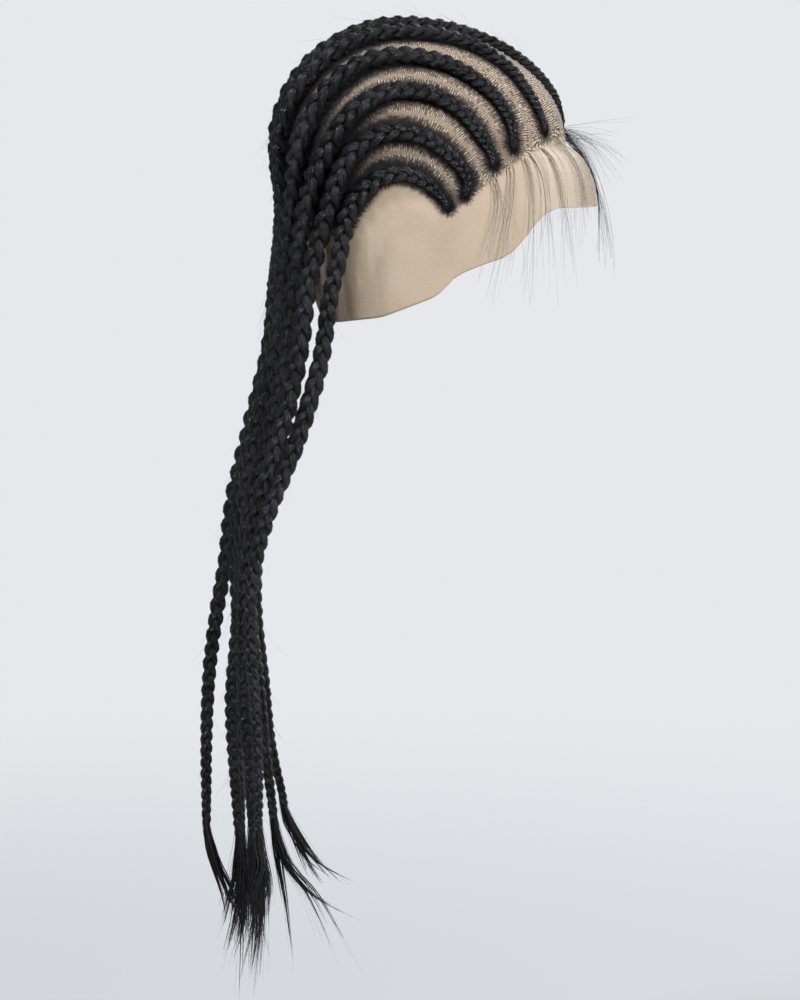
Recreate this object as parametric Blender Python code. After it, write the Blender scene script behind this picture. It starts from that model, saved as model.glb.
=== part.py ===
"""Braid wig: a lace cap with eleven cornrows that hang behind as plaits.

Metres, +Z up. The front of the wig looks along -Y and the wearer's right is -X.
The origin is where the inside of the cap rests on the crown of the head.
Run it with: blender --background --python part.py
"""

import math

import bmesh
import bpy
from mathutils import Quaternion, Vector

# Lace cap, measured on its outer face
CAP_WALL = 0.0012
CAP_CROWN_HEIGHT = 0.0775
CAP_HALF_WIDTH = 0.076
CAP_FRONT_REACH = 0.108
CAP_BACK_REACH = 0.081
CAP_NAPE_DEPTH = 0.197
CAP_PLAN_POWER = 2.2
CAP_COLUMNS = 40
CAP_CROWN_RINGS = 6
CAP_SIDE_RINGS = 5

# Point inside the head, level with the ears, that the partings fan out from
FAN_DEPTH = 0.137
FACE_SEARCH_STEPS = 40
NORMAL_STEP_DEGREES = 1.5

# Plaits, at their widest
PLAIT_WIDTH = 0.0135
PLAIT_THICKNESS = 0.0100
PLAIT_GAP = 0.0005
PLAIT_END_DEPTH = 0.545
LOBE_STEP = 0.7
LOBE_DIP = 0.72
LOBE_SWAY = 0.1
CAP_ROUTE_STEPS = 8
HANGING_ROUTE_STEPS = 12

# Clearances
SEAT_CLEARANCE = 0.0003
FACET_DIP = 0.0003
TIE_CLEARANCE = 0.0003

# Loose ends below the ties
TAIL_LENGTH = 0.110
TAIL_HEAD_HEIGHT = 0.006
TAIL_HEAD_TOP = 0.75
LOCK_WIDTH = 0.0022
LOCK_DEPTH = 0.0060
LOCK_TIP = 0.0007
LOCK_SPREAD = 0.0028
LOCKS_PER_TAIL = 3

# Baby hair along the front
FRINGE_BAND_WIDTH = 0.0024
FRINGE_BAND_THICKNESS = 0.0008
FRINGE_LOCK_WIDTH = 0.0016
FRINGE_SEGMENTS = 34
FRINGE_LIFT = 0.010

LACE_COLOUR = (0.60, 0.49, 0.37, 1.0)
LACE_ROUGHNESS = 0.85
HAIR_COLOUR = (0.014, 0.014, 0.017, 1.0)
HAIR_ROUGHNESS = 0.45

# Cap below its widest level: drop, then reach to the front, side and back, as shares
CAP_SECTIONS = (
    (0.00, 1.00, 1.00, 1.00),
    (0.06, 1.10, 1.00, 1.00),
    (0.14, 1.15, 1.00, 0.985),
    (0.22, 1.18, 0.99, 0.97),
    (0.34, 1.20, 0.975, 0.93),
    (0.46, 1.20, 0.95, 0.90),
    (0.60, 1.20, 0.915, 0.857),
    (0.78, 1.20, 0.86, 0.79),
    (1.00, 1.20, 0.79, 0.68),
)

# Hem of the cap: bearing from the front in degrees, depth as a share of the nape depth
CAP_HEM = (
    (0.0, 0.60),
    (30.0, 0.60),
    (34.0, 0.655),
    (40.0, 0.755),
    (52.0, 0.79),
    (64.0, 0.83),
    (70.0, 0.89),
    (85.0, 0.925),
    (104.0, 0.965),
    (135.0, 0.985),
    (180.0, 1.00),
)

# Cornrows on the cap: turn from the front over the crown and lean to the side, in degrees
CORNROWS = {
    "c": ((35, 0), (50, 0), (70, 0), (90, 0), (110, 0), (130, 0), (146, 0), (158, 0)),
    "r1": ((37, 20), (48, 19), (57, 16.5), (66, 14.5), (76, 13), (90, 12.3), (104, 13),
           (116, 14), (127, 14.5), (138, 13.8), (148, 13), (157, 13)),
    "r2": ((39, 33.5), (48, 30.5), (57, 28.6), (67, 27), (78, 25.2), (91, 24), (103, 24.5),
           (115, 26.3), (127, 28), (140, 28.6), (154, 28)),
    "r3": ((39, 42.5), (47, 40.7), (57, 39.6), (68, 37.6), (78, 36.3), (88, 35.7), (98, 36.1),
           (108, 37.6), (119, 39.2), (131, 40.4), (145, 39.8), (158, 37.7)),
    "r4": ((35, 56.5), (42, 53), (54, 51.3), (69, 49.8), (82, 48.4), (95, 47.4), (107, 47.4),
           (119, 47.9), (132, 49.2), (143, 50.4), (152, 50.6)),
    "r5": ((35, 64.5), (56, 63.6), (76, 61.8), (94, 60.8), (112, 60.2), (130, 60.8), (152, 60)),
}

# Hanging plaits: drop as a share, then lanes from the middle and back reach for each plait
HANGING_DROPS = (0.06, 0.14, 0.24, 0.36, 0.48, 0.58, 0.68, 0.78, 0.89, 1.0)
HANGING_LANES = {
    "c": (0.0, 0.0, 0.0, 0.0, 0.0, 0.0, 0.0, 0.0, 0.0, 0.0),
    "r1": (1.32, 1.13, 1.05, 1.01, 0.97, 0.92, 0.85, 0.80, 0.76, 0.75),
    "r2": (2.57, 2.29, 2.12, 2.02, 1.95, 1.85, 1.70, 1.60, 1.54, 1.50),
    "r3": (3.43, 3.20, 3.08, 3.00, 2.90, 2.73, 2.52, 2.38, 2.29, 2.25),
    "r4": (4.30, 4.06, 3.97, 3.92, 3.80, 3.58, 3.33, 3.15, 3.04, 3.00),
    "r5": (4.76, 4.60, 4.50, 4.48, 4.48, 4.38, 4.14, 3.95, 3.79, 3.68),
}
HANGING_BACKS = {
    "c": (1.02, 1.08, 1.13, 1.28, 1.43, 1.50, 1.59, 1.65, 1.67, 1.67),
    "r1": (1.02, 1.06, 1.11, 1.25, 1.37, 1.40, 1.39, 1.42, 1.39, 1.38),
    "r2": (0.95, 1.00, 1.06, 1.20, 1.32, 1.36, 1.37, 1.40, 1.39, 1.37),
    "r3": (0.85, 0.91, 0.97, 1.11, 1.27, 1.34, 1.39, 1.44, 1.42, 1.38),
    "r4": (0.70, 0.80, 0.87, 1.02, 1.21, 1.31, 1.33, 1.33, 1.28, 1.26),
    "r5": (0.52, 0.61, 0.69, 0.87, 1.12, 1.25, 1.27, 1.23, 1.21, 1.21),
    "l1": (1.03, 1.07, 1.11, 1.24, 1.37, 1.41, 1.39, 1.38, 1.34, 1.29),
    "l2": (0.97, 1.02, 1.07, 1.20, 1.33, 1.38, 1.40, 1.45, 1.43, 1.39),
    "l3": (0.87, 0.93, 0.99, 1.12, 1.28, 1.36, 1.36, 1.35, 1.31, 1.26),
    "l4": (0.71, 0.82, 0.89, 1.05, 1.22, 1.32, 1.31, 1.25, 1.19, 1.12),
    "l5": (0.53, 0.63, 0.70, 0.88, 1.12, 1.26, 1.27, 1.21, 1.15, 1.03),
}
# How far the lanes still follow the width of the head at each of those drops
HANGING_HOLD = (1.0, 0.7, 0.4, 0.2, 0.0, 0.0, 0.0, 0.0, 0.0, 0.0)
LANES_IN_HALF_CAP = 5.43

# Depth of each tied end as a share of PLAIT_END_DEPTH, and each plait's size
PLAIT_ENDS = {
    "c": 0.986, "r1": 0.996, "r2": 0.985, "r3": 0.992, "r4": 1.0, "r5": 0.989,
    "l1": 0.988, "l2": 1.0, "l3": 0.982, "l4": 0.992, "l5": 0.978,
}
PLAIT_SIZES = {"c": 1.0, "1": 1.0, "2": 1.0, "3": 1.0, "4": 0.98, "5": 0.88}
# Degrees that each plait turns its flat side outward on the way down
HANGING_TWISTS = {"c": 85, "1": 60, "2": 45, "3": 25, "4": 10, "5": 0}

# Share of the full width along the cap and along the hanging stretch
CAP_TAPER = ((0.0, 0.30), (0.1, 0.48), (0.3, 0.70), (0.5, 0.84), (0.7, 0.96), (0.85, 1.0))
HANGING_TAPER = ((0.0, 1.0), (0.3, 0.98), (0.5, 0.91), (0.64, 0.78), (0.8, 0.67),
                 (0.92, 0.56), (1.0, 0.45))

# Share of a lock's full section at each of its points
LOCK_TAPER = (1.0, 0.72, 0.0)

# Locks of each loose end: forward and drop of three points, as shares of TAIL_LENGTH
TAIL_LOCKS = {
    "c": (((0.05, 0.16), (0.15, 0.41), (0.29, 0.63)),
          ((0.05, 0.17), (0.15, 0.42), (0.05, 0.86)),
          ((0.04, 0.16), (0.13, 0.38), (0.20, 0.57))),
    "r1": (((-0.01, 0.18), (-0.04, 0.40), (-0.13, 0.73)),
           ((0.00, 0.17), (0.03, 0.46), (-0.04, 0.66)),
           ((0.01, 0.17), (0.04, 0.50), (-0.02, 0.76))),
    "r2": (((0.01, 0.18), (0.00, 0.42), (-0.10, 0.78)),
           ((0.02, 0.18), (0.06, 0.46), (0.03, 0.80)),
           ((-0.01, 0.17), (-0.03, 0.42), (-0.11, 0.64))),
    "r3": (((-0.01, 0.18), (-0.04, 0.40), (-0.14, 0.72)),
           ((0.00, 0.18), (0.01, 0.46), (0.00, 0.90)),
           ((-0.01, 0.17), (-0.03, 0.36), (-0.06, 0.56))),
    "r4": (((-0.01, 0.20), (0.02, 0.43), (-0.12, 0.88)),
           ((0.00, 0.20), (0.03, 0.43), (0.00, 0.85)),
           ((-0.01, 0.18), (0.01, 0.40), (-0.06, 0.70))),
    "r5": (((0.03, 0.10), (-0.02, 0.30), (-0.01, 0.72)),
           ((0.03, 0.12), (0.05, 0.27), (0.03, 0.46)),
           ((0.01, 0.18), (0.00, 0.44), (-0.05, 0.80))),
    "l1": (((0.00, 0.18), (0.05, 0.44), (0.02, 0.86)),
           ((0.02, 0.18), (0.05, 0.42), (-0.04, 0.92)),
           ((0.00, 0.18), (0.02, 0.40), (0.06, 0.70))),
    "l2": (((0.02, 0.18), (0.06, 0.42), (0.10, 0.70)),
           ((-0.01, 0.18), (-0.03, 0.42), (-0.10, 0.70)),
           ((0.01, 0.18), (0.03, 0.44), (0.02, 0.72))),
    "l3": (((0.02, 0.18), (0.04, 0.46), (0.00, 0.84)),
           ((0.03, 0.18), (0.08, 0.40), (0.05, 0.62)),
           ((0.00, 0.18), (-0.02, 0.42), (-0.08, 0.74))),
    "l4": (((0.07, 0.22), (0.24, 0.44), (0.46, 0.91)),
           ((0.07, 0.22), (0.25, 0.44), (0.58, 0.62)),
           ((0.02, 0.20), (0.06, 0.48), (0.09, 0.86))),
    "l5": (((0.05, 0.09), (0.20, 0.30), (0.42, 0.43)),
           ((0.05, 0.09), (0.16, 0.35), (0.27, 0.52)),
           ((0.05, 0.09), (0.19, 0.32), (0.33, 0.48))),
}

# Hairline: lean and turn in degrees, from the middle of the front to the right temple
HAIRLINE = ((0, 31.0), (20, 32.5), (34, 34.0), (45, 33.0), (57, 30.0), (65, 29.0))

# Baby hair locks: lean, then turn and lift above the cap, as a share of FRINGE_LIFT, of four points
FRINGE_LOCKS = (
    (-3, ((25, 0.7), (15, 0.9), (5, 0.8), (-7, 0.8))),
    (3, ((26, 1.0), (18, 1.4), (10, 1.6), (2, 1.7))),
    (12, ((25, 0.5), (8, 0.4), (-6, 0.8), (-18, 1.2))),
    (22, ((26, 0.5), (9, 0.4), (-6, 0.6), (-20, 0.9))),
    (33, ((27, 0.5), (10, 0.4), (-5, 0.5), (-22, 0.7))),
    (46, ((26, 0.4), (9, 0.3), (-8, 0.4), (-24, 0.4))),
    (-14, ((25, 0.5), (8, 0.4), (-6, 0.8), (-16, 1.2))),
    (-25, ((26, 0.5), (9, 0.4), (-6, 0.6), (-20, 0.9))),
    (-37, ((27, 0.5), (10, 0.4), (-5, 0.5), (-22, 0.7))),
    (-49, ((26, 0.4), (9, 0.3), (-8, 0.4), (-24, 0.4))),
)
FRINGE_TAPER = (1.0, 0.7, 0.4, 0.0)


def read_table(table, position, column=1):
    """Value of one column of a table at a position between its rows."""
    if position <= table[0][0]:
        return table[0][column]
    for low, high in zip(table, table[1:]):
        if position <= high[0]:
            share = (position - low[0]) / (high[0] - low[0])
            return low[column] + share * (high[column] - low[column])
    return table[-1][column]


def smooth_route(points, steps):
    """Smooth curve through points, with as many steps as asked between each pair."""
    points = [Vector(point) for point in points]
    stations = [0.0]
    for start, end in zip(points, points[1:]):
        stations.append(stations[-1] + (end - start).length)
    slopes = []
    last = len(points) - 1
    for index in range(len(points)):
        before = max(index - 1, 0)
        after = min(index + 1, last)
        slopes.append((points[after] - points[before]) / (stations[after] - stations[before]))
    route = []
    for index in range(last):
        span = stations[index + 1] - stations[index]
        for step in range(steps):
            t = step / steps
            start_pull = (1 + 2 * t) * (1 - t) ** 2
            end_pull = t * t * (3 - 2 * t)
            point = points[index] * start_pull + points[index + 1] * end_pull
            point += slopes[index] * span * t * (1 - t) ** 2
            point += slopes[index + 1] * span * t * t * (t - 1)
            route.append(point)
    route.append(points[last])
    return route


def plan_radius(sine, cosine, half_width, reach):
    """Distance from the axis to the rounded plan of the cap in one direction."""
    side = (abs(sine) / half_width) ** CAP_PLAN_POWER
    along = (abs(cosine) / reach) ** CAP_PLAN_POWER
    return (side + along) ** (-1 / CAP_PLAN_POWER)


def cap_section(height):
    """Half width, front reach and back reach of the cap's outer face at a height."""
    drop = CAP_WALL - CAP_CROWN_HEIGHT - height
    if drop < 0:
        size = math.sqrt(max(1 - (drop / CAP_CROWN_HEIGHT) ** 2, 1e-9))
        return CAP_HALF_WIDTH * size, CAP_FRONT_REACH * size, CAP_BACK_REACH * size
    share = drop / (CAP_NAPE_DEPTH - CAP_CROWN_HEIGHT)
    front = CAP_FRONT_REACH * read_table(CAP_SECTIONS, share, 1)
    side = CAP_HALF_WIDTH * read_table(CAP_SECTIONS, share, 2)
    back = CAP_BACK_REACH * read_table(CAP_SECTIONS, share, 3)
    return side, front, back


def cap_excess(point):
    """Below zero inside the cap's outer face, above zero outside it."""
    if point.z >= CAP_WALL:
        return 1.0
    side, front, back = cap_section(point.z)
    reach = back if point.y > 0 else front
    radius = math.hypot(point.x, point.y)
    if radius == 0:
        return -1.0
    return radius / plan_radius(point.x / radius, point.y / radius, side, reach) - 1


def fan_direction(turn, lean):
    """Direction from the fan point: turn from the front over the crown, lean to the right."""
    turn = math.radians(turn)
    lean = math.radians(lean)
    forward = math.cos(lean) * math.cos(turn)
    return Vector((-math.sin(lean), -forward, math.cos(lean) * math.sin(turn)))


def cap_point(turn, lean):
    """Point on the cap's outer face in a direction from the fan point."""
    centre = Vector((0, 0, CAP_WALL - FAN_DEPTH))
    direction = fan_direction(turn, lean)
    inside = 0.0
    outside = 2 * (CAP_FRONT_REACH + CAP_NAPE_DEPTH)
    for _ in range(FACE_SEARCH_STEPS):
        middle = (inside + outside) / 2
        if cap_excess(centre + direction * middle) < 0:
            inside = middle
        else:
            outside = middle
    return centre + direction * inside


def cap_normal(turn, lean):
    """Outward direction of the cap's face, from three points close together."""
    step = NORMAL_STEP_DEGREES
    centre = cap_point(turn, lean)
    along = cap_point(turn + step, lean) - cap_point(turn - step, lean)
    across = cap_point(turn, lean + step) - cap_point(turn, lean - step)
    normal = along.cross(across).normalized()
    if normal.dot(centre - Vector((0, 0, CAP_WALL - FAN_DEPTH))) < 0:
        normal.negate()
    return normal


def lifted_point(turn, lean, lift):
    """Point above the cap's outer face."""
    return cap_point(turn, lean) + cap_normal(turn, lean) * lift


def make_material(name, colour, roughness):
    """Plain Principled material."""
    material = bpy.data.materials.new(name)
    material.use_nodes = True
    shader = material.node_tree.nodes["Principled BSDF"]
    shader.inputs["Base Color"].default_value = colour
    shader.inputs["Roughness"].default_value = roughness
    shader.inputs["Metallic"].default_value = 0.0
    return material


def finish_object(bm, name, material, parent):
    """Turn a bmesh into a named object under the wig's empty."""
    bmesh.ops.recalc_face_normals(bm, faces=bm.faces)
    mesh = bpy.data.meshes.new(name)
    bm.to_mesh(mesh)
    bm.free()
    mesh.materials.append(material)
    obj = bpy.data.objects.new(name, mesh)
    bpy.context.scene.collection.objects.link(obj)
    obj.parent = parent
    return obj


def add_tube(bm, rings):
    """Closed tube through rings of equal count. Returns the side faces of each stretch."""
    loops = [[bm.verts.new(point) for point in ring] for ring in rings]
    stretches = []
    for low, high in zip(loops, loops[1:]):
        faces = []
        for index in range(len(low)):
            after = (index + 1) % len(low)
            faces.append(bm.faces.new((low[index], low[after], high[after], high[index])))
        stretches.append(faces)
    bm.faces.new(reversed(loops[0]))
    bm.faces.new(loops[-1])
    return stretches


def grow_lock(bm, face, route, taper, width, depth):
    """Extrude one face along a route into a lock that narrows to its tip."""
    previous = face.calc_center_median()
    for point, share in zip(route, taper):
        grown = bmesh.ops.extrude_discrete_faces(bm, faces=[face])
        face = grown["faces"][0]
        along = (point - previous).normalized()
        side = (Vector((1, 0, 0)) - along * along.x).normalized()
        front = along.cross(side)
        side *= (LOCK_TIP + (width - LOCK_TIP) * share) / 2
        front *= (LOCK_TIP + (depth - LOCK_TIP) * share) / 2
        square = [side + front, front - side, -side - front, side - front]
        centre = face.calc_center_median()
        offsets = [vert.co - centre for vert in face.verts]
        best_turn = max(range(4), key=lambda turn: sum(
            offset.dot(square[(corner + turn) % 4]) for corner, offset in enumerate(offsets)))
        for corner, vert in enumerate(face.verts):
            vert.co = point + square[(corner + best_turn) % 4]
        previous = point


def build_cap(material, parent):
    """Open shell of lace: rings by angle over the crown, then by depth down to the hem."""
    bm = bmesh.new()
    apex = bm.verts.new((0, 0, CAP_WALL))
    widest = CAP_WALL - CAP_CROWN_HEIGHT
    columns = []
    for column in range(CAP_COLUMNS):
        bearing = 360 * column / CAP_COLUMNS
        angle = math.radians(bearing)
        sine = math.sin(angle)
        cosine = math.cos(angle)
        hem_share = read_table(CAP_HEM, 180 - abs(bearing - 180))
        hem = CAP_WALL - CAP_NAPE_DEPTH * hem_share
        heights = []
        for ring in range(1, CAP_CROWN_RINGS + 1):
            polar = math.radians(90 * ring / CAP_CROWN_RINGS)
            heights.append(widest + CAP_CROWN_HEIGHT * math.cos(polar))
        for ring in range(1, CAP_SIDE_RINGS + 1):
            heights.append(widest + (hem - widest) * ring / CAP_SIDE_RINGS)
        verts = []
        for height in heights:
            side, front, back = cap_section(height)
            radius = plan_radius(sine, cosine, side, front if cosine > 0 else back)
            verts.append(bm.verts.new((-radius * sine, -radius * cosine, height)))
        columns.append(verts)
    for column, verts in enumerate(columns):
        beside = columns[(column + 1) % CAP_COLUMNS]
        bm.faces.new((apex, verts[0], beside[0]))
        for ring in range(len(verts) - 1):
            bm.faces.new((verts[ring], verts[ring + 1], beside[ring + 1], beside[ring]))
    cap = finish_object(bm, "lace_cap", material, parent)
    cap.data.shade_smooth()
    if cap.data.polygons[0].normal.z < 0:
        cap.data.flip_normals()
    wall = cap.modifiers.new("wall", "SOLIDIFY")
    wall.thickness = CAP_WALL
    wall.offset = -1
    wall.use_even_offset = True


def cornrow_part(name, mirror, size):
    """Dense centre line of a cornrow on the cap: position, normal, size share."""
    turns = [(turn, lean, 0) for turn, lean in CORNROWS[name]]
    samples = smooth_route(turns, CAP_ROUTE_STEPS)
    line = []
    for index, sample in enumerate(samples):
        share = size * read_table(CAP_TAPER, index / (len(samples) - 1))
        lift = SEAT_CLEARANCE + FACET_DIP + PLAIT_THICKNESS * share / 2
        point = lifted_point(sample.x, sample.y, lift)
        normal = cap_normal(sample.x, sample.y)
        line.append((Vector((point.x * mirror, point.y, point.z)),
                     Vector((normal.x * mirror, normal.y, normal.z)), share))
    return line


def hanging_points(name, row, mirror, exit_point):
    """Chosen points of a plait below the cap, from the named sizes and tables."""
    lane_pitch = PLAIT_WIDTH + PLAIT_GAP
    head_pitch = CAP_HALF_WIDTH / LANES_IN_HALF_CAP
    end_height = -PLAIT_END_DEPTH * PLAIT_ENDS[name]
    points = []
    for index, drop in enumerate(HANGING_DROPS):
        hold = HANGING_HOLD[index]
        pitch = hold * head_pitch + (1 - hold) * lane_pitch
        across = -mirror * pitch * HANGING_LANES[row][index]
        back = CAP_BACK_REACH * HANGING_BACKS[name][index]
        height = exit_point.z + drop * (end_height - exit_point.z)
        points.append(Vector((across, back, height)))
    return points


def plait_line(name):
    """Whole centre line of one plait as position, normal and size share."""
    mirror = -1 if name.startswith("l") else 1
    row = name.replace("l", "r")
    size = PLAIT_SIZES[name[-1]]
    on_cap = cornrow_part(row, mirror, size)
    lead = [on_cap[-1 - CAP_ROUTE_STEPS][0], on_cap[-1][0]]
    below = hanging_points(name, row, mirror, on_cap[-1][0])
    route = smooth_route(lead + below, HANGING_ROUTE_STEPS)[HANGING_ROUTE_STEPS + 1:]
    lengths = [0.0]
    for start, end in zip(route, route[1:]):
        lengths.append(lengths[-1] + (end - start).length)
    normal = on_cap[-1][1]
    twist = -mirror * math.radians(HANGING_TWISTS[name[-1]])
    line = list(on_cap)
    for index, point in enumerate(route):
        along = (point - line[-1][0]).normalized()
        normal = (normal - along * normal.dot(along)).normalized()
        progress = lengths[index] / lengths[-1]
        share = size * read_table(HANGING_TAPER, progress)
        turned = normal.copy()
        turned.rotate(Quaternion(along, twist * progress * progress * (3 - 2 * progress)))
        line.append((point, turned, share))
    return line


def lobe_rings(line):
    """Four-sided rings whose left and right corners bulge in turn, like a plait's lobes."""
    rings = []
    travelled = 0.0
    due = 0.0
    for index in range(len(line)):
        point, normal, share = line[index]
        before = line[max(index - 1, 0)][0]
        after = line[min(index + 1, len(line) - 1)][0]
        travelled += (point - before).length
        is_end = index in (0, len(line) - 1)
        if travelled < due and not is_end:
            continue
        width = PLAIT_WIDTH * share
        depth = PLAIT_THICKNESS * share
        if index == 0:
            due = width * LOBE_STEP
        else:
            due += width * LOBE_STEP
        along = (after - before).normalized()
        out = (normal - along * normal.dot(along)).normalized()
        side = along.cross(out)
        sway = 1 if len(rings) % 2 else -1
        left = width / 2 * (1 if sway > 0 else LOBE_DIP)
        right = width / 2 * (1 if sway < 0 else LOBE_DIP)
        crest = side * (width * LOBE_SWAY * sway)
        rings.append((point + side * left, point + out * depth / 2 + crest,
                      point - side * right, point - out * depth / 2))
    return rings


def build_plait(name, material, parent):
    """One cornrow and the plait that it hangs on as. Returns its tied end and size share."""
    line = plait_line(name)
    rings = lobe_rings(line)
    bm = bmesh.new()
    add_tube(bm, rings)
    finish_object(bm, "plait_" + name, material, parent)
    tied_end = line[-1][0].copy()
    tied_end.z = min(corner.z for corner in rings[-1])
    return tied_end, line[-1][2]


def build_tail(name, tied_end, share, material, parent):
    """Loose end below a tie: a head of three cells with a tapering lock from each."""
    width = PLAIT_WIDTH * share
    depth = PLAIT_THICKNESS * share
    top = tied_end.z - TIE_CLEARANCE
    bm = bmesh.new()
    rows = []
    for drop, swell in ((0.0, TAIL_HEAD_TOP), (TAIL_HEAD_HEIGHT, 1.0)):
        ring = []
        for side in (-1, 1):
            for cell in range(LOCKS_PER_TAIL + 1):
                across = (cell / LOCKS_PER_TAIL - 0.5) * width * swell
                ahead = side * depth / 2 * swell
                ring.append(bm.verts.new((tied_end.x + across, tied_end.y + ahead, top - drop)))
        rows.append(ring)
    upper, lower = rows
    outline = (0, 1, 2, 3, 7, 6, 5, 4)
    for start, end in zip(outline, outline[1:] + outline[:1]):
        bm.faces.new((upper[start], upper[end], lower[end], lower[start]))
    bm.faces.new([upper[index] for index in outline])
    cells = []
    beside = LOCKS_PER_TAIL + 1
    for cell in range(LOCKS_PER_TAIL):
        corners = (lower[cell], lower[cell + 1], lower[cell + 1 + beside], lower[cell + beside])
        cells.append(bm.faces.new(corners))
    bmesh.ops.recalc_face_normals(bm, faces=bm.faces)
    bmesh.ops.inset_individual(bm, faces=cells, thickness=TIE_CLEARANCE)
    for cell, face in enumerate(cells):
        lane = tied_end.x + (cell - 1) * LOCK_SPREAD
        route = []
        for forward, drop in TAIL_LOCKS[name][cell]:
            back = tied_end.y - TAIL_LENGTH * forward
            route.append(Vector((lane, back, top - TAIL_HEAD_HEIGHT - TAIL_LENGTH * drop)))
        grow_lock(bm, face, route, LOCK_TAPER, LOCK_WIDTH, LOCK_DEPTH)
    finish_object(bm, "tail_" + name, material, parent)


def build_fringe(material, parent):
    """Baby hair: a slim band that follows the hairline, with locks grown from it."""
    bm = bmesh.new()
    widest_lean = HAIRLINE[-1][0]
    leans = []
    rings = []
    for index in range(FRINGE_SEGMENTS + 1):
        lean = widest_lean * (2 * index / FRINGE_SEGMENTS - 1)
        turn = read_table(HAIRLINE, abs(lean))
        root = cap_point(turn, lean)
        normal = cap_normal(turn, lean)
        along = cap_point(turn, lean + 1) - cap_point(turn, lean - 1)
        ahead = along.cross(normal).normalized() * (FRINGE_BAND_WIDTH / 2)
        low = root + normal * (SEAT_CLEARANCE + FACET_DIP)
        high = low + normal * FRINGE_BAND_THICKNESS
        leans.append(lean)
        rings.append((low - ahead, low + ahead, high + ahead, high - ahead))
    stretches = add_tube(bm, rings)
    bmesh.ops.recalc_face_normals(bm, faces=bm.faces)
    for lean, stations in FRINGE_LOCKS:
        index = min(range(FRINGE_SEGMENTS), key=lambda item: abs(leans[item] - lean))
        face = min(stretches[index], key=lambda side: side.normal.z)
        route = [lifted_point(turn, lean, FRINGE_LIFT * lift) for turn, lift in stations]
        grow_lock(bm, face, route, FRINGE_TAPER, FRINGE_LOCK_WIDTH, FRINGE_LOCK_WIDTH)
    finish_object(bm, "hairline_fringe", material, parent)


def main():
    """Clear the scene and build the wig."""
    for obj in list(bpy.data.objects):
        bpy.data.objects.remove(obj)
    lace = make_material("lace", LACE_COLOUR, LACE_ROUGHNESS)
    hair = make_material("hair", HAIR_COLOUR, HAIR_ROUGHNESS)
    wig = bpy.data.objects.new("wig", None)
    bpy.context.scene.collection.objects.link(wig)
    build_cap(lace, wig)
    for name in PLAIT_ENDS:
        tied_end, share = build_plait(name, hair, wig)
        build_tail(name, tied_end, share, hair, wig)
    build_fringe(hair, wig)


main()
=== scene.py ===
"""Looks of the braid wig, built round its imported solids.

Metres, +Z up. The front of the wig looks along -Y and the wearer's right is -X.
The origin is where the inside of the cap rests on the crown of the head.
"""

import logging
import math
from dataclasses import dataclass, field
from enum import Enum

import bpy
import numpy as np
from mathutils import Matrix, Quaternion, Vector
from mathutils.bvhtree import BVHTree


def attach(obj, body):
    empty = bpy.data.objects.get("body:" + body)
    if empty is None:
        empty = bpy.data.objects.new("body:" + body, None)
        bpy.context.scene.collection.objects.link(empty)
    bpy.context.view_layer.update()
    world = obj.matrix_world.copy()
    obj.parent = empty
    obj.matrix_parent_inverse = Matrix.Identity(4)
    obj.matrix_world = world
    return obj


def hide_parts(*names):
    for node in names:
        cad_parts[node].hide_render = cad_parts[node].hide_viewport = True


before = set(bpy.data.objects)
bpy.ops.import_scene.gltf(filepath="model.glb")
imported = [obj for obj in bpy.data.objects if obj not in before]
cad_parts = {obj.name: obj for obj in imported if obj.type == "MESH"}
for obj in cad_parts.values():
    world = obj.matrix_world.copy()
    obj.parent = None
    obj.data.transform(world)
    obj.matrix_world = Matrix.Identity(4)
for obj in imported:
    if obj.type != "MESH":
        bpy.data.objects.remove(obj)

LOG = logging.getLogger("braid_wig")
SEED = 462

# Cornrows on the cap: turn from the front over the crown and lean to the side, in degrees
CORNROWS = {
    "c": ((35, 0), (50, 0), (70, 0), (90, 0), (110, 0), (130, 0), (146, 0), (158, 0)),
    "r1": ((37, 20), (48, 19), (57, 16.5), (66, 14.5), (76, 13), (90, 12.3), (104, 13),
           (116, 14), (127, 14.5), (138, 13.8), (148, 13), (157, 13)),
    "r2": ((39, 33.5), (48, 30.5), (57, 28.6), (67, 27), (78, 25.2), (91, 24), (103, 24.5),
           (115, 26.3), (127, 28), (140, 28.6), (154, 28)),
    "r3": ((39, 42.5), (47, 40.7), (57, 39.6), (68, 37.6), (78, 36.3), (88, 35.7), (98, 36.1),
           (108, 37.6), (119, 39.2), (131, 40.4), (145, 39.8), (158, 37.7)),
    "r4": ((35, 56.5), (42, 53), (54, 51.3), (69, 49.8), (82, 48.4), (95, 47.4), (107, 47.4),
           (119, 47.9), (132, 49.2), (143, 50.4), (152, 50.6)),
    "r5": ((35, 64.5), (56, 63.6), (76, 61.8), (94, 60.8), (112, 60.2), (130, 60.8), (152, 60)),
}

# Hanging plaits: drop as a share, then lanes from the middle and back reach for each plait
HANGING_DROPS = (0.06, 0.14, 0.24, 0.36, 0.48, 0.58, 0.68, 0.78, 0.89, 1.0)
HANGING_LANES = {
    "c": (0.0, 0.0, 0.0, 0.0, 0.0, 0.0, 0.0, 0.0, 0.0, 0.0),
    "r1": (1.32, 1.13, 1.05, 1.01, 0.97, 0.92, 0.85, 0.80, 0.76, 0.75),
    "r2": (2.57, 2.29, 2.12, 2.02, 1.95, 1.85, 1.70, 1.60, 1.54, 1.50),
    "r3": (3.43, 3.20, 3.08, 3.00, 2.90, 2.73, 2.52, 2.38, 2.29, 2.25),
    "r4": (4.30, 4.06, 3.97, 3.92, 3.80, 3.58, 3.33, 3.15, 3.04, 3.00),
    "r5": (4.76, 4.60, 4.50, 4.48, 4.48, 4.38, 4.14, 3.95, 3.79, 3.68),
}
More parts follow.
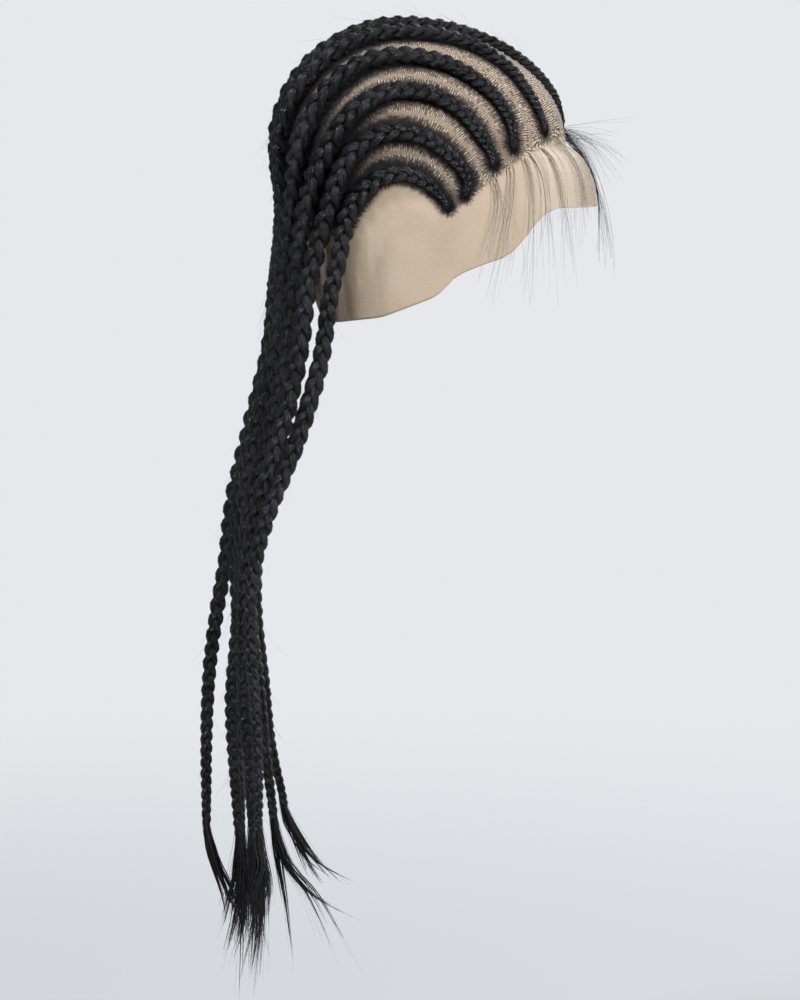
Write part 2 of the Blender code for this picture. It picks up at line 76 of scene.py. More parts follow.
HANGING_BACKS = {
    "c": (1.02, 1.08, 1.13, 1.28, 1.43, 1.50, 1.59, 1.65, 1.67, 1.67),
    "r1": (1.02, 1.06, 1.11, 1.25, 1.37, 1.40, 1.39, 1.42, 1.39, 1.38),
    "r2": (0.95, 1.00, 1.06, 1.20, 1.32, 1.36, 1.37, 1.40, 1.39, 1.37),
    "r3": (0.85, 0.91, 0.97, 1.11, 1.27, 1.34, 1.39, 1.44, 1.42, 1.38),
    "r4": (0.70, 0.80, 0.87, 1.02, 1.21, 1.31, 1.33, 1.33, 1.28, 1.26),
    "r5": (0.52, 0.61, 0.69, 0.87, 1.12, 1.25, 1.27, 1.23, 1.21, 1.21),
    "l1": (1.03, 1.07, 1.11, 1.24, 1.37, 1.41, 1.39, 1.38, 1.34, 1.29),
    "l2": (0.97, 1.02, 1.07, 1.20, 1.33, 1.38, 1.40, 1.45, 1.43, 1.39),
    "l3": (0.87, 0.93, 0.99, 1.12, 1.28, 1.36, 1.36, 1.35, 1.31, 1.26),
    "l4": (0.71, 0.82, 0.89, 1.05, 1.22, 1.32, 1.31, 1.25, 1.19, 1.12),
    "l5": (0.53, 0.63, 0.70, 0.88, 1.12, 1.26, 1.27, 1.21, 1.15, 1.03),
}
HANGING_HOLD = (1.0, 0.7, 0.4, 0.2, 0.0, 0.0, 0.0, 0.0, 0.0, 0.0)
LANES_IN_HALF_CAP = 5.43

# Depth of each tied end as a share of the longest, and each plait's size
PLAIT_ENDS = {
    "c": 0.986, "r1": 0.996, "r2": 0.985, "r3": 0.992, "r4": 1.0, "r5": 0.989,
    "l1": 0.988, "l2": 1.0, "l3": 0.982, "l4": 0.992, "l5": 0.978,
}
PLAIT_SIZES = {"c": 1.0, "1": 1.0, "2": 1.0, "3": 1.0, "4": 0.98, "5": 0.88}
HANGING_TWISTS = {"c": 85, "1": 60, "2": 45, "3": 25, "4": 10, "5": 0}

# Share of the full width along the cap and along the hanging stretch
CAP_TAPER = ((0.0, 0.30), (0.1, 0.48), (0.3, 0.70), (0.5, 0.84), (0.7, 0.96), (0.85, 1.0))
HANGING_TAPER = ((0.0, 1.0), (0.3, 0.98), (0.5, 0.91), (0.64, 0.78), (0.8, 0.67),
                 (0.92, 0.56), (1.0, 0.45))

# Locks of each loose end: forward and drop of three points, as shares of the tail's length
TAIL_LOCKS = {
    "c": (((0.05, 0.16), (0.15, 0.41), (0.29, 0.63)),
          ((0.05, 0.17), (0.15, 0.42), (0.05, 0.86)),
          ((0.04, 0.16), (0.13, 0.38), (0.20, 0.57))),
    "r1": (((-0.01, 0.18), (-0.04, 0.40), (-0.13, 0.73)),
           ((0.00, 0.17), (0.03, 0.46), (-0.04, 0.66)),
           ((0.01, 0.17), (0.04, 0.50), (-0.02, 0.76))),
    "r2": (((0.01, 0.18), (0.00, 0.42), (-0.10, 0.78)),
           ((0.02, 0.18), (0.06, 0.46), (0.03, 0.80)),
           ((-0.01, 0.17), (-0.03, 0.42), (-0.11, 0.64))),
    "r3": (((-0.01, 0.18), (-0.04, 0.40), (-0.14, 0.72)),
           ((0.00, 0.18), (0.01, 0.46), (0.00, 0.90)),
           ((-0.01, 0.17), (-0.03, 0.36), (-0.06, 0.56))),
    "r4": (((-0.01, 0.20), (0.02, 0.43), (-0.12, 0.88)),
           ((0.00, 0.20), (0.03, 0.43), (0.00, 0.85)),
           ((-0.01, 0.18), (0.01, 0.40), (-0.06, 0.70))),
    "r5": (((0.03, 0.10), (-0.02, 0.30), (-0.01, 0.72)),
           ((0.03, 0.12), (0.05, 0.27), (0.03, 0.46)),
           ((0.01, 0.18), (0.00, 0.44), (-0.05, 0.80))),
    "l1": (((0.00, 0.18), (0.05, 0.44), (0.02, 0.86)),
           ((0.02, 0.18), (0.05, 0.42), (-0.04, 0.92)),
           ((0.00, 0.18), (0.02, 0.40), (0.06, 0.70))),
    "l2": (((0.02, 0.18), (0.06, 0.42), (0.10, 0.70)),
           ((-0.01, 0.18), (-0.03, 0.42), (-0.10, 0.70)),
           ((0.01, 0.18), (0.03, 0.44), (0.02, 0.72))),
    "l3": (((0.02, 0.18), (0.04, 0.46), (0.00, 0.84)),
           ((0.03, 0.18), (0.08, 0.40), (0.05, 0.62)),
           ((0.00, 0.18), (-0.02, 0.42), (-0.08, 0.74))),
    "l4": (((0.07, 0.22), (0.24, 0.44), (0.46, 0.91)),
           ((0.07, 0.22), (0.25, 0.44), (0.58, 0.62)),
           ((0.02, 0.20), (0.06, 0.48), (0.09, 0.86))),
    "l5": (((0.05, 0.09), (0.20, 0.30), (0.42, 0.43)),
           ((0.05, 0.09), (0.16, 0.35), (0.27, 0.52)),
           ((0.05, 0.09), (0.19, 0.32), (0.33, 0.48))),
}

# Cap below its widest level: drop, then reach to the front, side and back, as shares
CAP_SECTIONS = (
    (0.00, 1.00, 1.00, 1.00),
    (0.06, 1.10, 1.00, 1.00),
    (0.14, 1.15, 1.00, 0.985),
    (0.22, 1.18, 0.99, 0.97),
    (0.34, 1.20, 0.975, 0.93),
    (0.46, 1.20, 0.95, 0.90),
    (0.60, 1.20, 0.915, 0.857),
    (0.78, 1.20, 0.86, 0.79),
    (1.00, 1.20, 0.79, 0.68),
)

# Hem of the cap: bearing from the front in degrees, depth as a share of the nape depth
CAP_HEM = (
    (0.0, 0.60), (30.0, 0.60), (34.0, 0.655), (40.0, 0.755), (52.0, 0.79), (64.0, 0.83),
    (70.0, 0.89), (85.0, 0.925), (104.0, 0.965), (135.0, 0.985), (180.0, 1.00),
)

# Hairline: lean and turn in degrees, from the middle of the front to the temple
HAIRLINE = ((0, 31.0), (20, 32.5), (34, 34.0), (45, 33.0), (57, 30.0), (65, 29.0))

# Rows by the last letter of their name, and how their root hair spreads on their rear stretch; on
# the lace, the dark root colour there is also painted shade over the rear partings
UPPER_ROWS = "c12"
LOWEST_ROW = "5"
LOWER_ROW_SHARE = 0.35
REAR_START = 0.36
REAR_BLEND = 0.30

# Along a loose lock: half width as a share of its widest, and thickness of its inner strands
LOCK_FULLNESS = ((0.2, 0.72), (0.42, 1.0), (0.62, 0.62), (0.82, 0.28), (1.0, 0.08))
CORE_FULLNESS = ((0.0, 0.75), (0.25, 1.0), (0.5, 0.9), (0.75, 0.55), (1.0, 0.10))

# Points closer to the crown than this share lie on its tip
CROWN_TIP = 1e-6
POINTS_AT_ONCE = 2000


class Part(Enum):
    """Names for the wig's two finishes, lace and hair; nothing in this script reads them."""

    LACE = "lace"
    HAIR = "hair"


def read_table(table: tuple, position: float, column: int = 1) -> float:
    """Value of one column of a table at a position between its rows.

    Args:
        table: rows that start with their position, in rising order.
        position: where to read.
        column: which column to read.

    Returns:
        The value, held at the first and last row beyond them.
    """
    stations = [row[0] for row in table]
    values = [row[column] for row in table]
    return float(np.interp(position, stations, values))


def smooth_route(points: list, steps: int) -> list[Vector]:
    """Smooth curve through points.

    Args:
        points: the points to pass through.
        steps: how many steps lie between two points.

    Returns:
        The points of the curve, ends included.
    """
    points = [Vector(point) for point in points]
    stations = [0.0]
    for start, end in zip(points, points[1:]):
        stations.append(stations[-1] + (end - start).length)
    slopes = []
    last = len(points) - 1
    for index in range(len(points)):
        before = max(index - 1, 0)
        after = min(index + 1, last)
        slopes.append((points[after] - points[before]) / (stations[after] - stations[before]))
    route = []
    for index in range(last):
        span = stations[index + 1] - stations[index]
        for step in range(steps):
            t = step / steps
            start_pull = (1 + 2 * t) * (1 - t) ** 2
            end_pull = t * t * (3 - 2 * t)
            point = points[index] * start_pull + points[index + 1] * end_pull
            point += slopes[index] * span * t * (1 - t) ** 2
            point += slopes[index + 1] * span * t * t * (t - 1)
            route.append(point)
    route.append(points[last])
    return route


def unit_rows(vectors: np.ndarray) -> np.ndarray:
    """Vectors along the last axis, each made one long."""
    lengths = np.linalg.norm(vectors, axis=-1, keepdims=True)
    return vectors / np.maximum(lengths, 1e-12)


def ease(share: float | np.ndarray) -> float | np.ndarray:
    """Smooth step of a share from 0 to 1."""
    return share * share * (3 - 2 * share)


def step_lengths(points: np.ndarray) -> np.ndarray:
    """Length of each step along a line of points."""
    return np.linalg.norm(np.diff(points, axis=0), axis=1)


def stations_along(points: np.ndarray) -> np.ndarray:
    """Distance of each point of a line from its start."""
    return np.concatenate([[0.0], np.cumsum(step_lengths(points))])


def read_rows(rows: np.ndarray, stations: np.ndarray, positions: np.ndarray) -> np.ndarray:
    """Rows of an array at positions between its own.

    Args:
        rows: the array, a row for each station.
        stations: the station of each row, in rising order.
        positions: where to read.

    Returns:
        A row for each position, held at the first and last row beyond them.
    """
    return np.stack([np.interp(positions, stations, column) for column in rows.T], 1)


def select_only(obj: bpy.types.Object) -> None:
    """Deselect everything, then select one object and make it active."""
    bpy.ops.object.select_all(action="DESELECT")
    obj.select_set(True)
    bpy.context.view_layer.objects.active = obj


def apply_modifier(obj: bpy.types.Object, kind: str, **settings: object) -> None:
    """Give an object one modifier and apply it.

    Args:
        obj: the object to change.
        kind: Blender's name for the modifier.
        settings: the modifier's own values by name.
    """
    modifier = obj.modifiers.new(kind.lower(), kind)
    for name, value in settings.items():
        setattr(modifier, name, value)
    select_only(obj)
    bpy.ops.object.modifier_apply(modifier=modifier.name)


def seat_piece(piece: bpy.types.Object, nodes: tuple[str, ...] = ()) -> None:
    """Hang a finished piece on the wig's body.

    Args:
        piece: the finished piece.
        nodes: the solids that it stands for.
    """
    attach(piece, "root")
    if nodes:
        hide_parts(*nodes)
    triangles = sum(len(face.vertices) - 2 for face in piece.data.polygons)
    LOG.info("%s: %d triangles", piece.name, triangles)


@dataclass
class NodeSheet:
    """Adds shader nodes to a material, a line for each node."""

    material: bpy.types.Material

    def add(self, kind: str, output: int | str = 0, settings: dict | None = None,
            **inputs: object) -> bpy.types.NodeSocket:
        """Add a node and fill or link its inputs.

        Args:
            kind: the node's type without its ShaderNode prefix.
            output: the output to hand back.
            settings: the node's own properties by name.
            inputs: values or sockets by input name, or by number as i0, i1 and so on.

        Returns:
            One output socket of the new node.
        """
        node = self.material.node_tree.nodes.new("ShaderNode" + kind)
        for name, value in (settings or {}).items():
            setattr(node, name, value)
        for name, value in inputs.items():
            is_number = name[0] == "i" and name[1:].isdigit()
            target = node.inputs[int(name[1:]) if is_number else name.replace("_", " ")]
            self.fill(target, value)
        return node.outputs[output]

    def fill(self, target: bpy.types.NodeSocket, value: object) -> None:
        """Link a socket to an input, or set the input's own value."""
        if isinstance(value, bpy.types.NodeSocket):
            self.material.node_tree.links.new(value, target)
        else:
            target.default_value = value

    def math(self, operation: str, *values: object) -> bpy.types.NodeSocket:
        """Add a Math node on one, two or three values."""
        inputs = {f"i{number}": value for number, value in enumerate(values)}
        return self.add("Math", settings={"operation": operation}, **inputs)

    def component(self, vector: object, axis: str) -> bpy.types.NodeSocket:
        """One component of a vector: X, Y or Z."""
        return self.add("SeparateXYZ", axis, i0=vector)

    def noise(self, place: object, scale: float | tuple, detail: float,
              roughness: float = 0.5) -> bpy.types.NodeSocket:
        """Add a noise pattern.

        Args:
            place: the coordinates to read.
            scale: how fine it is, or how fine along each axis.
            detail: how many finer layers it has.
            roughness: how strong those layers are.

        Returns:
            The pattern's value.
        """
        if isinstance(scale, tuple):
            place = self.add("Mapping", i0=place, Scale=scale)
            scale = 1.0
        return self.add("TexNoise", "Fac", i0=place, Scale=scale, Detail=detail,
                        Roughness=roughness)

    def bump(self, height: object, strength: float, reach: float) -> bpy.types.NodeSocket:
        """Normal of a surface raised by a height, up to a reach in metres."""
        return self.add("Bump", Strength=strength, Distance=reach, Height=height)

    def ramp(self, value: object, low: float, high: float, start: float = 0.0,
             end: float = 1.0) -> bpy.types.NodeSocket:
        """Smooth step of a value from one level to another.

        Args:
            value: the socket to read.
            low: the value at which the step starts.
            high: the value at which the step ends.
            start: what it gives up to low.
            end: what it gives from high.

        Returns:
            The stepped value.
        """
        return self.add("MapRange", settings={"interpolation_type": "SMOOTHSTEP"}, i0=value,
                        i1=low, i2=high, i3=start, i4=end)

    def mix(self, share: object, first: object, second: object) -> bpy.types.NodeSocket:
        """Mix two colours by a share."""
        return self.add("MixRGB", Fac=share, Color1=first, Color2=second)

    def dress(self, **inputs: object) -> None:
        """Fill or link inputs of the material's own shader, by name."""
        shader = self.material.node_tree.nodes["Principled BSDF"]
        for name, value in inputs.items():
            self.fill(shader.inputs[name.replace("_", " ")], value)


def new_material(name: str) -> NodeSheet:
    """Start a node material with a lone Principled shader."""
    material = bpy.data.materials.new(name)
    material.use_nodes = True
    return NodeSheet(material)


@dataclass(frozen=True)
class LaceFinish:
    """Tan lace with dark hair roots beside each row and a sheer front."""

    name: str
    is_outer: bool = True
    tan: tuple = (0.525, 0.425, 0.325, 1.0)
    # Painted light: the lace is paler towards the front
    pale: tuple = (0.59, 0.50, 0.41, 1.0)
    shade: tuple = (0.475, 0.37, 0.27, 1.0)
    root: tuple = (0.012, 0.011, 0.012, 1.0)
    knot: tuple = (0.075, 0.058, 0.047, 1.0)
    # Painted shade for the folds behind the ear
    fold_shade: tuple = (0.27, 0.21, 0.155, 1.0)
    roughness: float = 0.8
    shine: float = 0.2
    net_pitch: float = 0.0011
    thread_edge: tuple = (0.06, 0.16)
    thread_cover: float = 0.22
    thread_relief: float = 0.25
    thread_height: float = 0.0003
    mottle_scale: float = 28.0
    mottle_edge: tuple = (0.40, 0.75)
    # Where the painted light on the front of the lace starts and where it is full
    pale_from: tuple = (-0.070, -0.105)
    # Pattern, place and strength of the painted shade in the folds behind the ear
    fold_shade_scale: tuple = (120.0, 120.0, 14.4)
    fold_shade_behind: tuple = (0.004, 0.020)
    fold_shade_below: tuple = (-0.120, -0.150)
    fold_shade_steps: tuple = (0.40, 0.60, 0.25, 0.85)
    fold_shade_cover: float = 0.55
    tuft_scale: tuple = (740.0, 200.0, 1.0)
    tuft_reach: float = 0.0120
    tuft_start: float = -0.0061
    clump_scale: tuple = (95.0, 60.0, 1.0)
    clump_reach: float = 0.0056
    root_edge: tuple = (-0.0010, 0.0042)
    stitch_pitch: float = 0.0015
    stitch_wander: float = 9.0
    stitch_comb: float = 0.15
    stitch_breaks: tuple = (950.0, 300.0, 1.0)
    stitch_near: tuple = (-0.001, 0.0080, 0.24, 0.05)
    stitch_edge: tuple = (0.42, 0.60)
    stitch_cover: float = 0.92

    def material(self) -> bpy.types.Material:
        """Build the node material.

        Returns:
            The lace, which reads the rows map and the field and veil attributes.
        """
        sheet = new_material(self.name)
        place = sheet.add("TexCoord", "Object")
        net = sheet.add("TexVoronoi", "Distance", settings={"feature": "DISTANCE_TO_EDGE"},
                        i0=place, Scale=1.0 / self.net_pitch)
        thread = sheet.ramp(net, *self.thread_edge, 1.0, 0.0)
        colour = self.cloth(sheet, place, thread)
        if self.is_outer:
            rows = sheet.add("UVMap", settings={"uv_map": "rows"})
            clumps = sheet.noise(rows, self.clump_scale, 2.0)
            colour = sheet.mix(self.stitches(sheet, rows, clumps), colour, self.knot)
            colour = sheet.mix(self.roots(sheet, rows, clumps), colour, self.root)
        veil = sheet.add("Attribute", "Fac", settings={"attribute_name": "veil"})
        hole = sheet.math("MULTIPLY", sheet.math("SUBTRACT", 1.0, thread), veil)
        sheet.dress(Base_Color=colour, Roughness=self.roughness, Specular_IOR_Level=self.shine,
                    Alpha=sheet.math("SUBTRACT", 1.0, hole),
                    Normal=sheet.bump(thread, self.thread_relief, self.thread_height))
        return sheet.material

    def cloth(self, sheet: NodeSheet, place: object, thread: object) -> bpy.types.NodeSocket:
        """Colour of the bare lace: paler in front as painted light, darker in threads, and with
        painted shade in the folds by the nape.

        Args:
            sheet: the material's nodes.
            place: the object coordinates.
            thread: how much of a thread of the net lies there.

        Returns:
            The colour.
        """
        mottled = sheet.ramp(sheet.noise(place, self.mottle_scale, 2.0), *self.mottle_edge)
        cloth = sheet.mix(mottled, self.tan, self.shade)
        back = sheet.component(place, "Y")
        # Painted shade: dark streaks in the folds behind the ear, by the nape
        shade_behind_ear = sheet.math("MULTIPLY", sheet.ramp(back, *self.fold_shade_behind),
                                sheet.ramp(sheet.component(place, "Z"), *self.fold_shade_below))
        fold_shadows = sheet.ramp(sheet.noise(place, self.fold_shade_scale, 1.0), *self.fold_shade_steps)
        folded = sheet.math("MULTIPLY", sheet.math("MULTIPLY", shade_behind_ear, fold_shadows), self.fold_shade_cover)
        cloth = sheet.mix(folded, cloth, self.fold_shade)
        # Painted light: paler towards the front of the cap
        cloth = sheet.mix(sheet.ramp(back, *self.pale_from), cloth, self.pale)
        return sheet.mix(sheet.math("MULTIPLY", thread, self.thread_cover), cloth, self.shade)

    def stitches(self, sheet: NodeSheet, rows: object, clumps: object) -> bpy.types.NodeSocket:
        """Where the knots of the partings show, combed across each parting.

        Args:
            sheet: the material's nodes.
            rows: the rows map.
            clumps: a slow pattern along the rows.

        Returns:
            How much of a knot lies there.
        """
        field_share = sheet.add("Attribute", "Fac", settings={"attribute_name": "field"})
        pace = sheet.math("MULTIPLY", sheet.component(rows, "X"), math.tau / self.stitch_pitch)
        sway = sheet.math("MULTIPLY_ADD", clumps, self.stitch_wander, pace)
        broken = sheet.noise(rows, self.stitch_breaks, 1.0)
        comb = sheet.math("MULTIPLY_ADD", sheet.math("SINE", sway), self.stitch_comb, broken)
        near = sheet.ramp(sheet.component(rows, "Y"), *self.stitch_near)
        stitched = sheet.ramp(sheet.math("ADD", comb, near), *self.stitch_edge)
        return sheet.math("MULTIPLY", sheet.math("MULTIPLY", stitched, self.stitch_cover),
                          field_share)

    def roots(self, sheet: NodeSheet, rows: object, clumps: object) -> bpy.types.NodeSocket:
        """Where hair drawn into a row covers the lace, with a ragged edge.

        Args:
            sheet: the material's nodes.
            rows: the rows map.
            clumps: a slow pattern along the rows.

        Returns:
            How much of the lace is covered.
        """
        tufts = sheet.noise(rows, self.tuft_scale, 3.0, 0.7)
        ragged = sheet.math("MULTIPLY_ADD", tufts, self.tuft_reach, self.tuft_start)
        wander = sheet.math("MULTIPLY_ADD", clumps, self.clump_reach, -self.clump_reach / 2)
        beyond = sheet.component(rows, "Y")
        uneven = sheet.math("ADD", sheet.math("ADD", beyond, ragged), wander)
        return sheet.ramp(uneven, *self.root_edge, 1.0, 0.0)


@dataclass(frozen=True)
class HairFinish:
    """Near-black fibre; a grooved one has a cool gleam painted on the crests of its ridges, a plain
    one lighter spots at random.
    """

    name: str
    # dark is the fibre's colour; light is painted on as a cool highlight on ridge crests, and as
    # random spots on plain fibre
    dark: tuple = (0.0010, 0.0009, 0.0012, 1.0)
    light: tuple = (0.0110, 0.0106, 0.0150, 1.0)
    roughness: float = 0.30
    shine: float = 0.42
    grooved: bool = False
    ridges: int = 8
    ridge_share: float = 0.16
    crest_edge: tuple = (0.42, 0.70)
    line_scale: tuple = (22.0, 90.0, 1.0)
    line_edge: tuple = (0.3, 0.7)
    line_height: float = 0.0006
    duller: float = 0.10
    glossier: float = 0.08
    spot_scale: float = 260.0
    spot_edge: tuple = (0.35, 0.65)

    def material(self) -> bpy.types.Material:
        """Build the node material.

        Returns:
            The hair; a grooved one has fibre lines along its UV map and a highlight painted on the
            crests of its ridges.
        """
        sheet = new_material(self.name)
        if self.grooved:
            along = sheet.add("UVMap", settings={"uv_map": "UVMap"})
            lines = sheet.noise(along, self.line_scale, 3.0, 0.7)
            # Painted highlight: the lighter colour lies on the crests of the ridges, broken up by
            # the fibre lines
            around = sheet.math("MULTIPLY", sheet.component(along, "X"), math.tau * self.ridges)
            crest = sheet.math("MULTIPLY_ADD", sheet.math("COSINE", around), self.ridge_share, lines)
            sheen_and_tone = sheet.ramp(crest, *self.crest_edge)
            sheet.dress(Roughness=sheet.ramp(lines, *self.line_edge, self.roughness + self.duller,
                                             self.roughness - self.glossier),
                        Normal=sheet.bump(lines, 1.0, self.line_height))
        else:
            # Lighter colour in random spots over plain fibre
            spots = sheet.noise(sheet.add("TexCoord", "Object"), self.spot_scale, 2.0)
            sheen_and_tone = sheet.ramp(spots, *self.spot_edge)
            sheet.dress(Roughness=self.roughness)
        sheet.dress(Base_Color=sheet.mix(sheen_and_tone, self.dark, self.light),
                    Specular_IOR_Level=self.shine)
        return sheet.material


@dataclass(frozen=True)
class FloorFinish:
    """Pale studio floor that fades into the background."""

    colour: tuple = (0.505, 0.517, 0.53, 1.0)
    fade_start: float = 0.5
    fade_end: float = 2.4
    roughness: float = 0.9
    shine: float = 0.1

    def material(self) -> bpy.types.Material:
        """Build the node material, plain matt near the wig and clear far from it."""
        sheet = new_material("studio_floor")
        place = sheet.add("TexCoord", "Object")
        far = sheet.add("VectorMath", "Value", settings={"operation": "LENGTH"}, i0=place)
        sheet.dress(Base_Color=self.colour, Roughness=self.roughness,
                    Specular_IOR_Level=self.shine,
                    Alpha=sheet.ramp(far, self.fade_start, self.fade_end, 1.0, 0.0))
        return sheet.material


@dataclass
class StrandBundle:
    """Fine strands gathered into one mesh of slim three-sided tubes, closed at both ends."""

    name: str
    routes: list = field(default_factory=list)
    radii: list = field(default_factory=list)

    def add(self, route: np.ndarray, root: float, tip: float) -> None:
        """Add one strand.

        Args:
            route: its points, as many as every other strand of the bundle has.
            root: its radius at the first point.
            tip: its radius at the last point.
        """
        share = np.linspace(0.0, 1.0, len(route)) ** 1.5
        self.add_shaped(route, root + (tip - root) * share)

    def add_shaped(self, route: np.ndarray, radii: np.ndarray) -> None:
        """Add one strand with a radius of its own at each point."""
        self.routes.append(np.asarray(route, float))
        self.radii.append(np.asarray(radii, float))

    def build(self, material: bpy.types.Material) -> bpy.types.Object:
        """Turn the strands into one object.

        Args:
            material: the finish of the strands.

        Returns:
            The object, at the origin.
        """
        routes = np.array(self.routes)
        radii = np.array(self.radii)[..., None]
        count, points, _ = routes.shape
        along = unit_rows(np.gradient(routes, axis=1))
        chord = unit_rows(routes[:, -1] - routes[:, 0])[:, None, :]
        helper = np.where(np.abs(chord[..., :1]) < 0.8, [1.0, 0.0, 0.0], [0.0, 1.0, 0.0])
        side = unit_rows(np.cross(along, np.broadcast_to(helper, along.shape)))
        up = np.cross(along, side)
        corners = []
        for corner in range(3):
            angle = math.tau * corner / 3
            corners.append(routes + radii * (side * math.cos(angle) + up * math.sin(angle)))
        verts = np.stack(corners, axis=2).reshape(-1, 3)
        start = (np.arange(count) * points * 3)[:, None, None]
        ring = start + (np.arange(points - 1) * 3)[None, :, None]
        corner = np.arange(3)[None, None, :]
        beside = (corner + 1) % 3
        quads = np.stack([ring + corner, ring + beside, ring + 3 + beside, ring + 3 + corner], -1)
        first = np.arange(count)[:, None] * points * 3
        roots = first + np.array([2, 1, 0])
        tips = first + (points - 1) * 3 + np.array([0, 1, 2])
        faces = quads.reshape(-1, 4).tolist() + roots.tolist() + tips.tolist()
        mesh = bpy.data.meshes.new(self.name)
        mesh.from_pydata(verts.tolist(), [], faces)
        mesh.shade_smooth()
        mesh.materials.append(material)
        obj = bpy.data.objects.new(self.name, mesh)
        bpy.context.scene.collection.objects.link(obj)
        return obj


@dataclass(frozen=True)
class CapShape:
    """Outer face of the cap: a rounded plan at every height, fanned out from inside the head."""

    wall: float = 0.0012
    crown_height: float = 0.0775
    half_width: float = 0.076
    front_reach: float = 0.108
    back_reach: float = 0.081
    nape_depth: float = 0.197
    plan_power: float = 2.2
    fan_depth: float = 0.137
    search_steps: int = 32
    normal_step: float = 1.5

    def centre(self) -> Vector:
        """Point inside the head that the partings fan out from."""
        return Vector((0, 0, self.wall - self.fan_depth))

    def section(self, height: float) -> tuple[float, float, float]:
        """Half width, front reach and back reach at a height."""
        drop = self.wall - self.crown_height - height
        if drop < 0:
            size = math.sqrt(max(1 - (drop / self.crown_height) ** 2, 1e-9))
            return self.half_width * size, self.front_reach * size, self.back_reach * size
        share = drop / (self.nape_depth - self.crown_height)
        front = self.front_reach * read_table(CAP_SECTIONS, share, 1)
        side = self.half_width * read_table(CAP_SECTIONS, share, 2)
        back = self.back_reach * read_table(CAP_SECTIONS, share, 3)
        return side, front, back

    def radius(self, sine: float, cosine: float, height: float) -> float:
        """Distance from the axis to the cap's face.

        Args:
            sine: sideways share of the direction.
            cosine: forward share of the direction.
            height: level of the point.

        Returns:
            The distance in metres.
        """
        side, front, back = self.section(height)
        reach = front if cosine > 0 else back
        across = (abs(sine) / side) ** self.plan_power
        ahead = (abs(cosine) / reach) ** self.plan_power
        return (across + ahead) ** (-1 / self.plan_power)

    def is_inside(self, point: Vector) -> bool:
        """Whether a point lies within the cap's outer face."""
        if point.z >= self.wall:
            return False
        distance = math.hypot(point.x, point.y)
        if distance == 0:
            return True
        return distance < self.radius(point.x / distance, -point.y / distance, point.z)

    def point(self, turn: float, lean: float) -> Vector:
        """Point on the outer face in a direction from the fan point, in degrees."""
        turn = math.radians(turn)
        lean = math.radians(lean)
        forward = math.cos(lean) * math.cos(turn)
        direction = Vector((-math.sin(lean), -forward, math.cos(lean) * math.sin(turn)))
        inside = 0.0
        outside = 2 * (self.front_reach + self.nape_depth)
        for _ in range(self.search_steps):
            middle = (inside + outside) / 2
            if self.is_inside(self.centre() + direction * middle):
                inside = middle
            else:
                outside = middle
        return self.centre() + direction * inside

    def normal(self, turn: float, lean: float) -> Vector:
        """Outward direction of the face at a turn and lean in degrees."""
        step = self.normal_step
        along = self.point(turn + step, lean) - self.point(turn - step, lean)
        across = self.point(turn, lean + step) - self.point(turn, lean - step)
        normal = along.cross(across).normalized()
        if normal.dot(self.point(turn, lean) - self.centre()) < 0:
            normal.negate()
        return normal


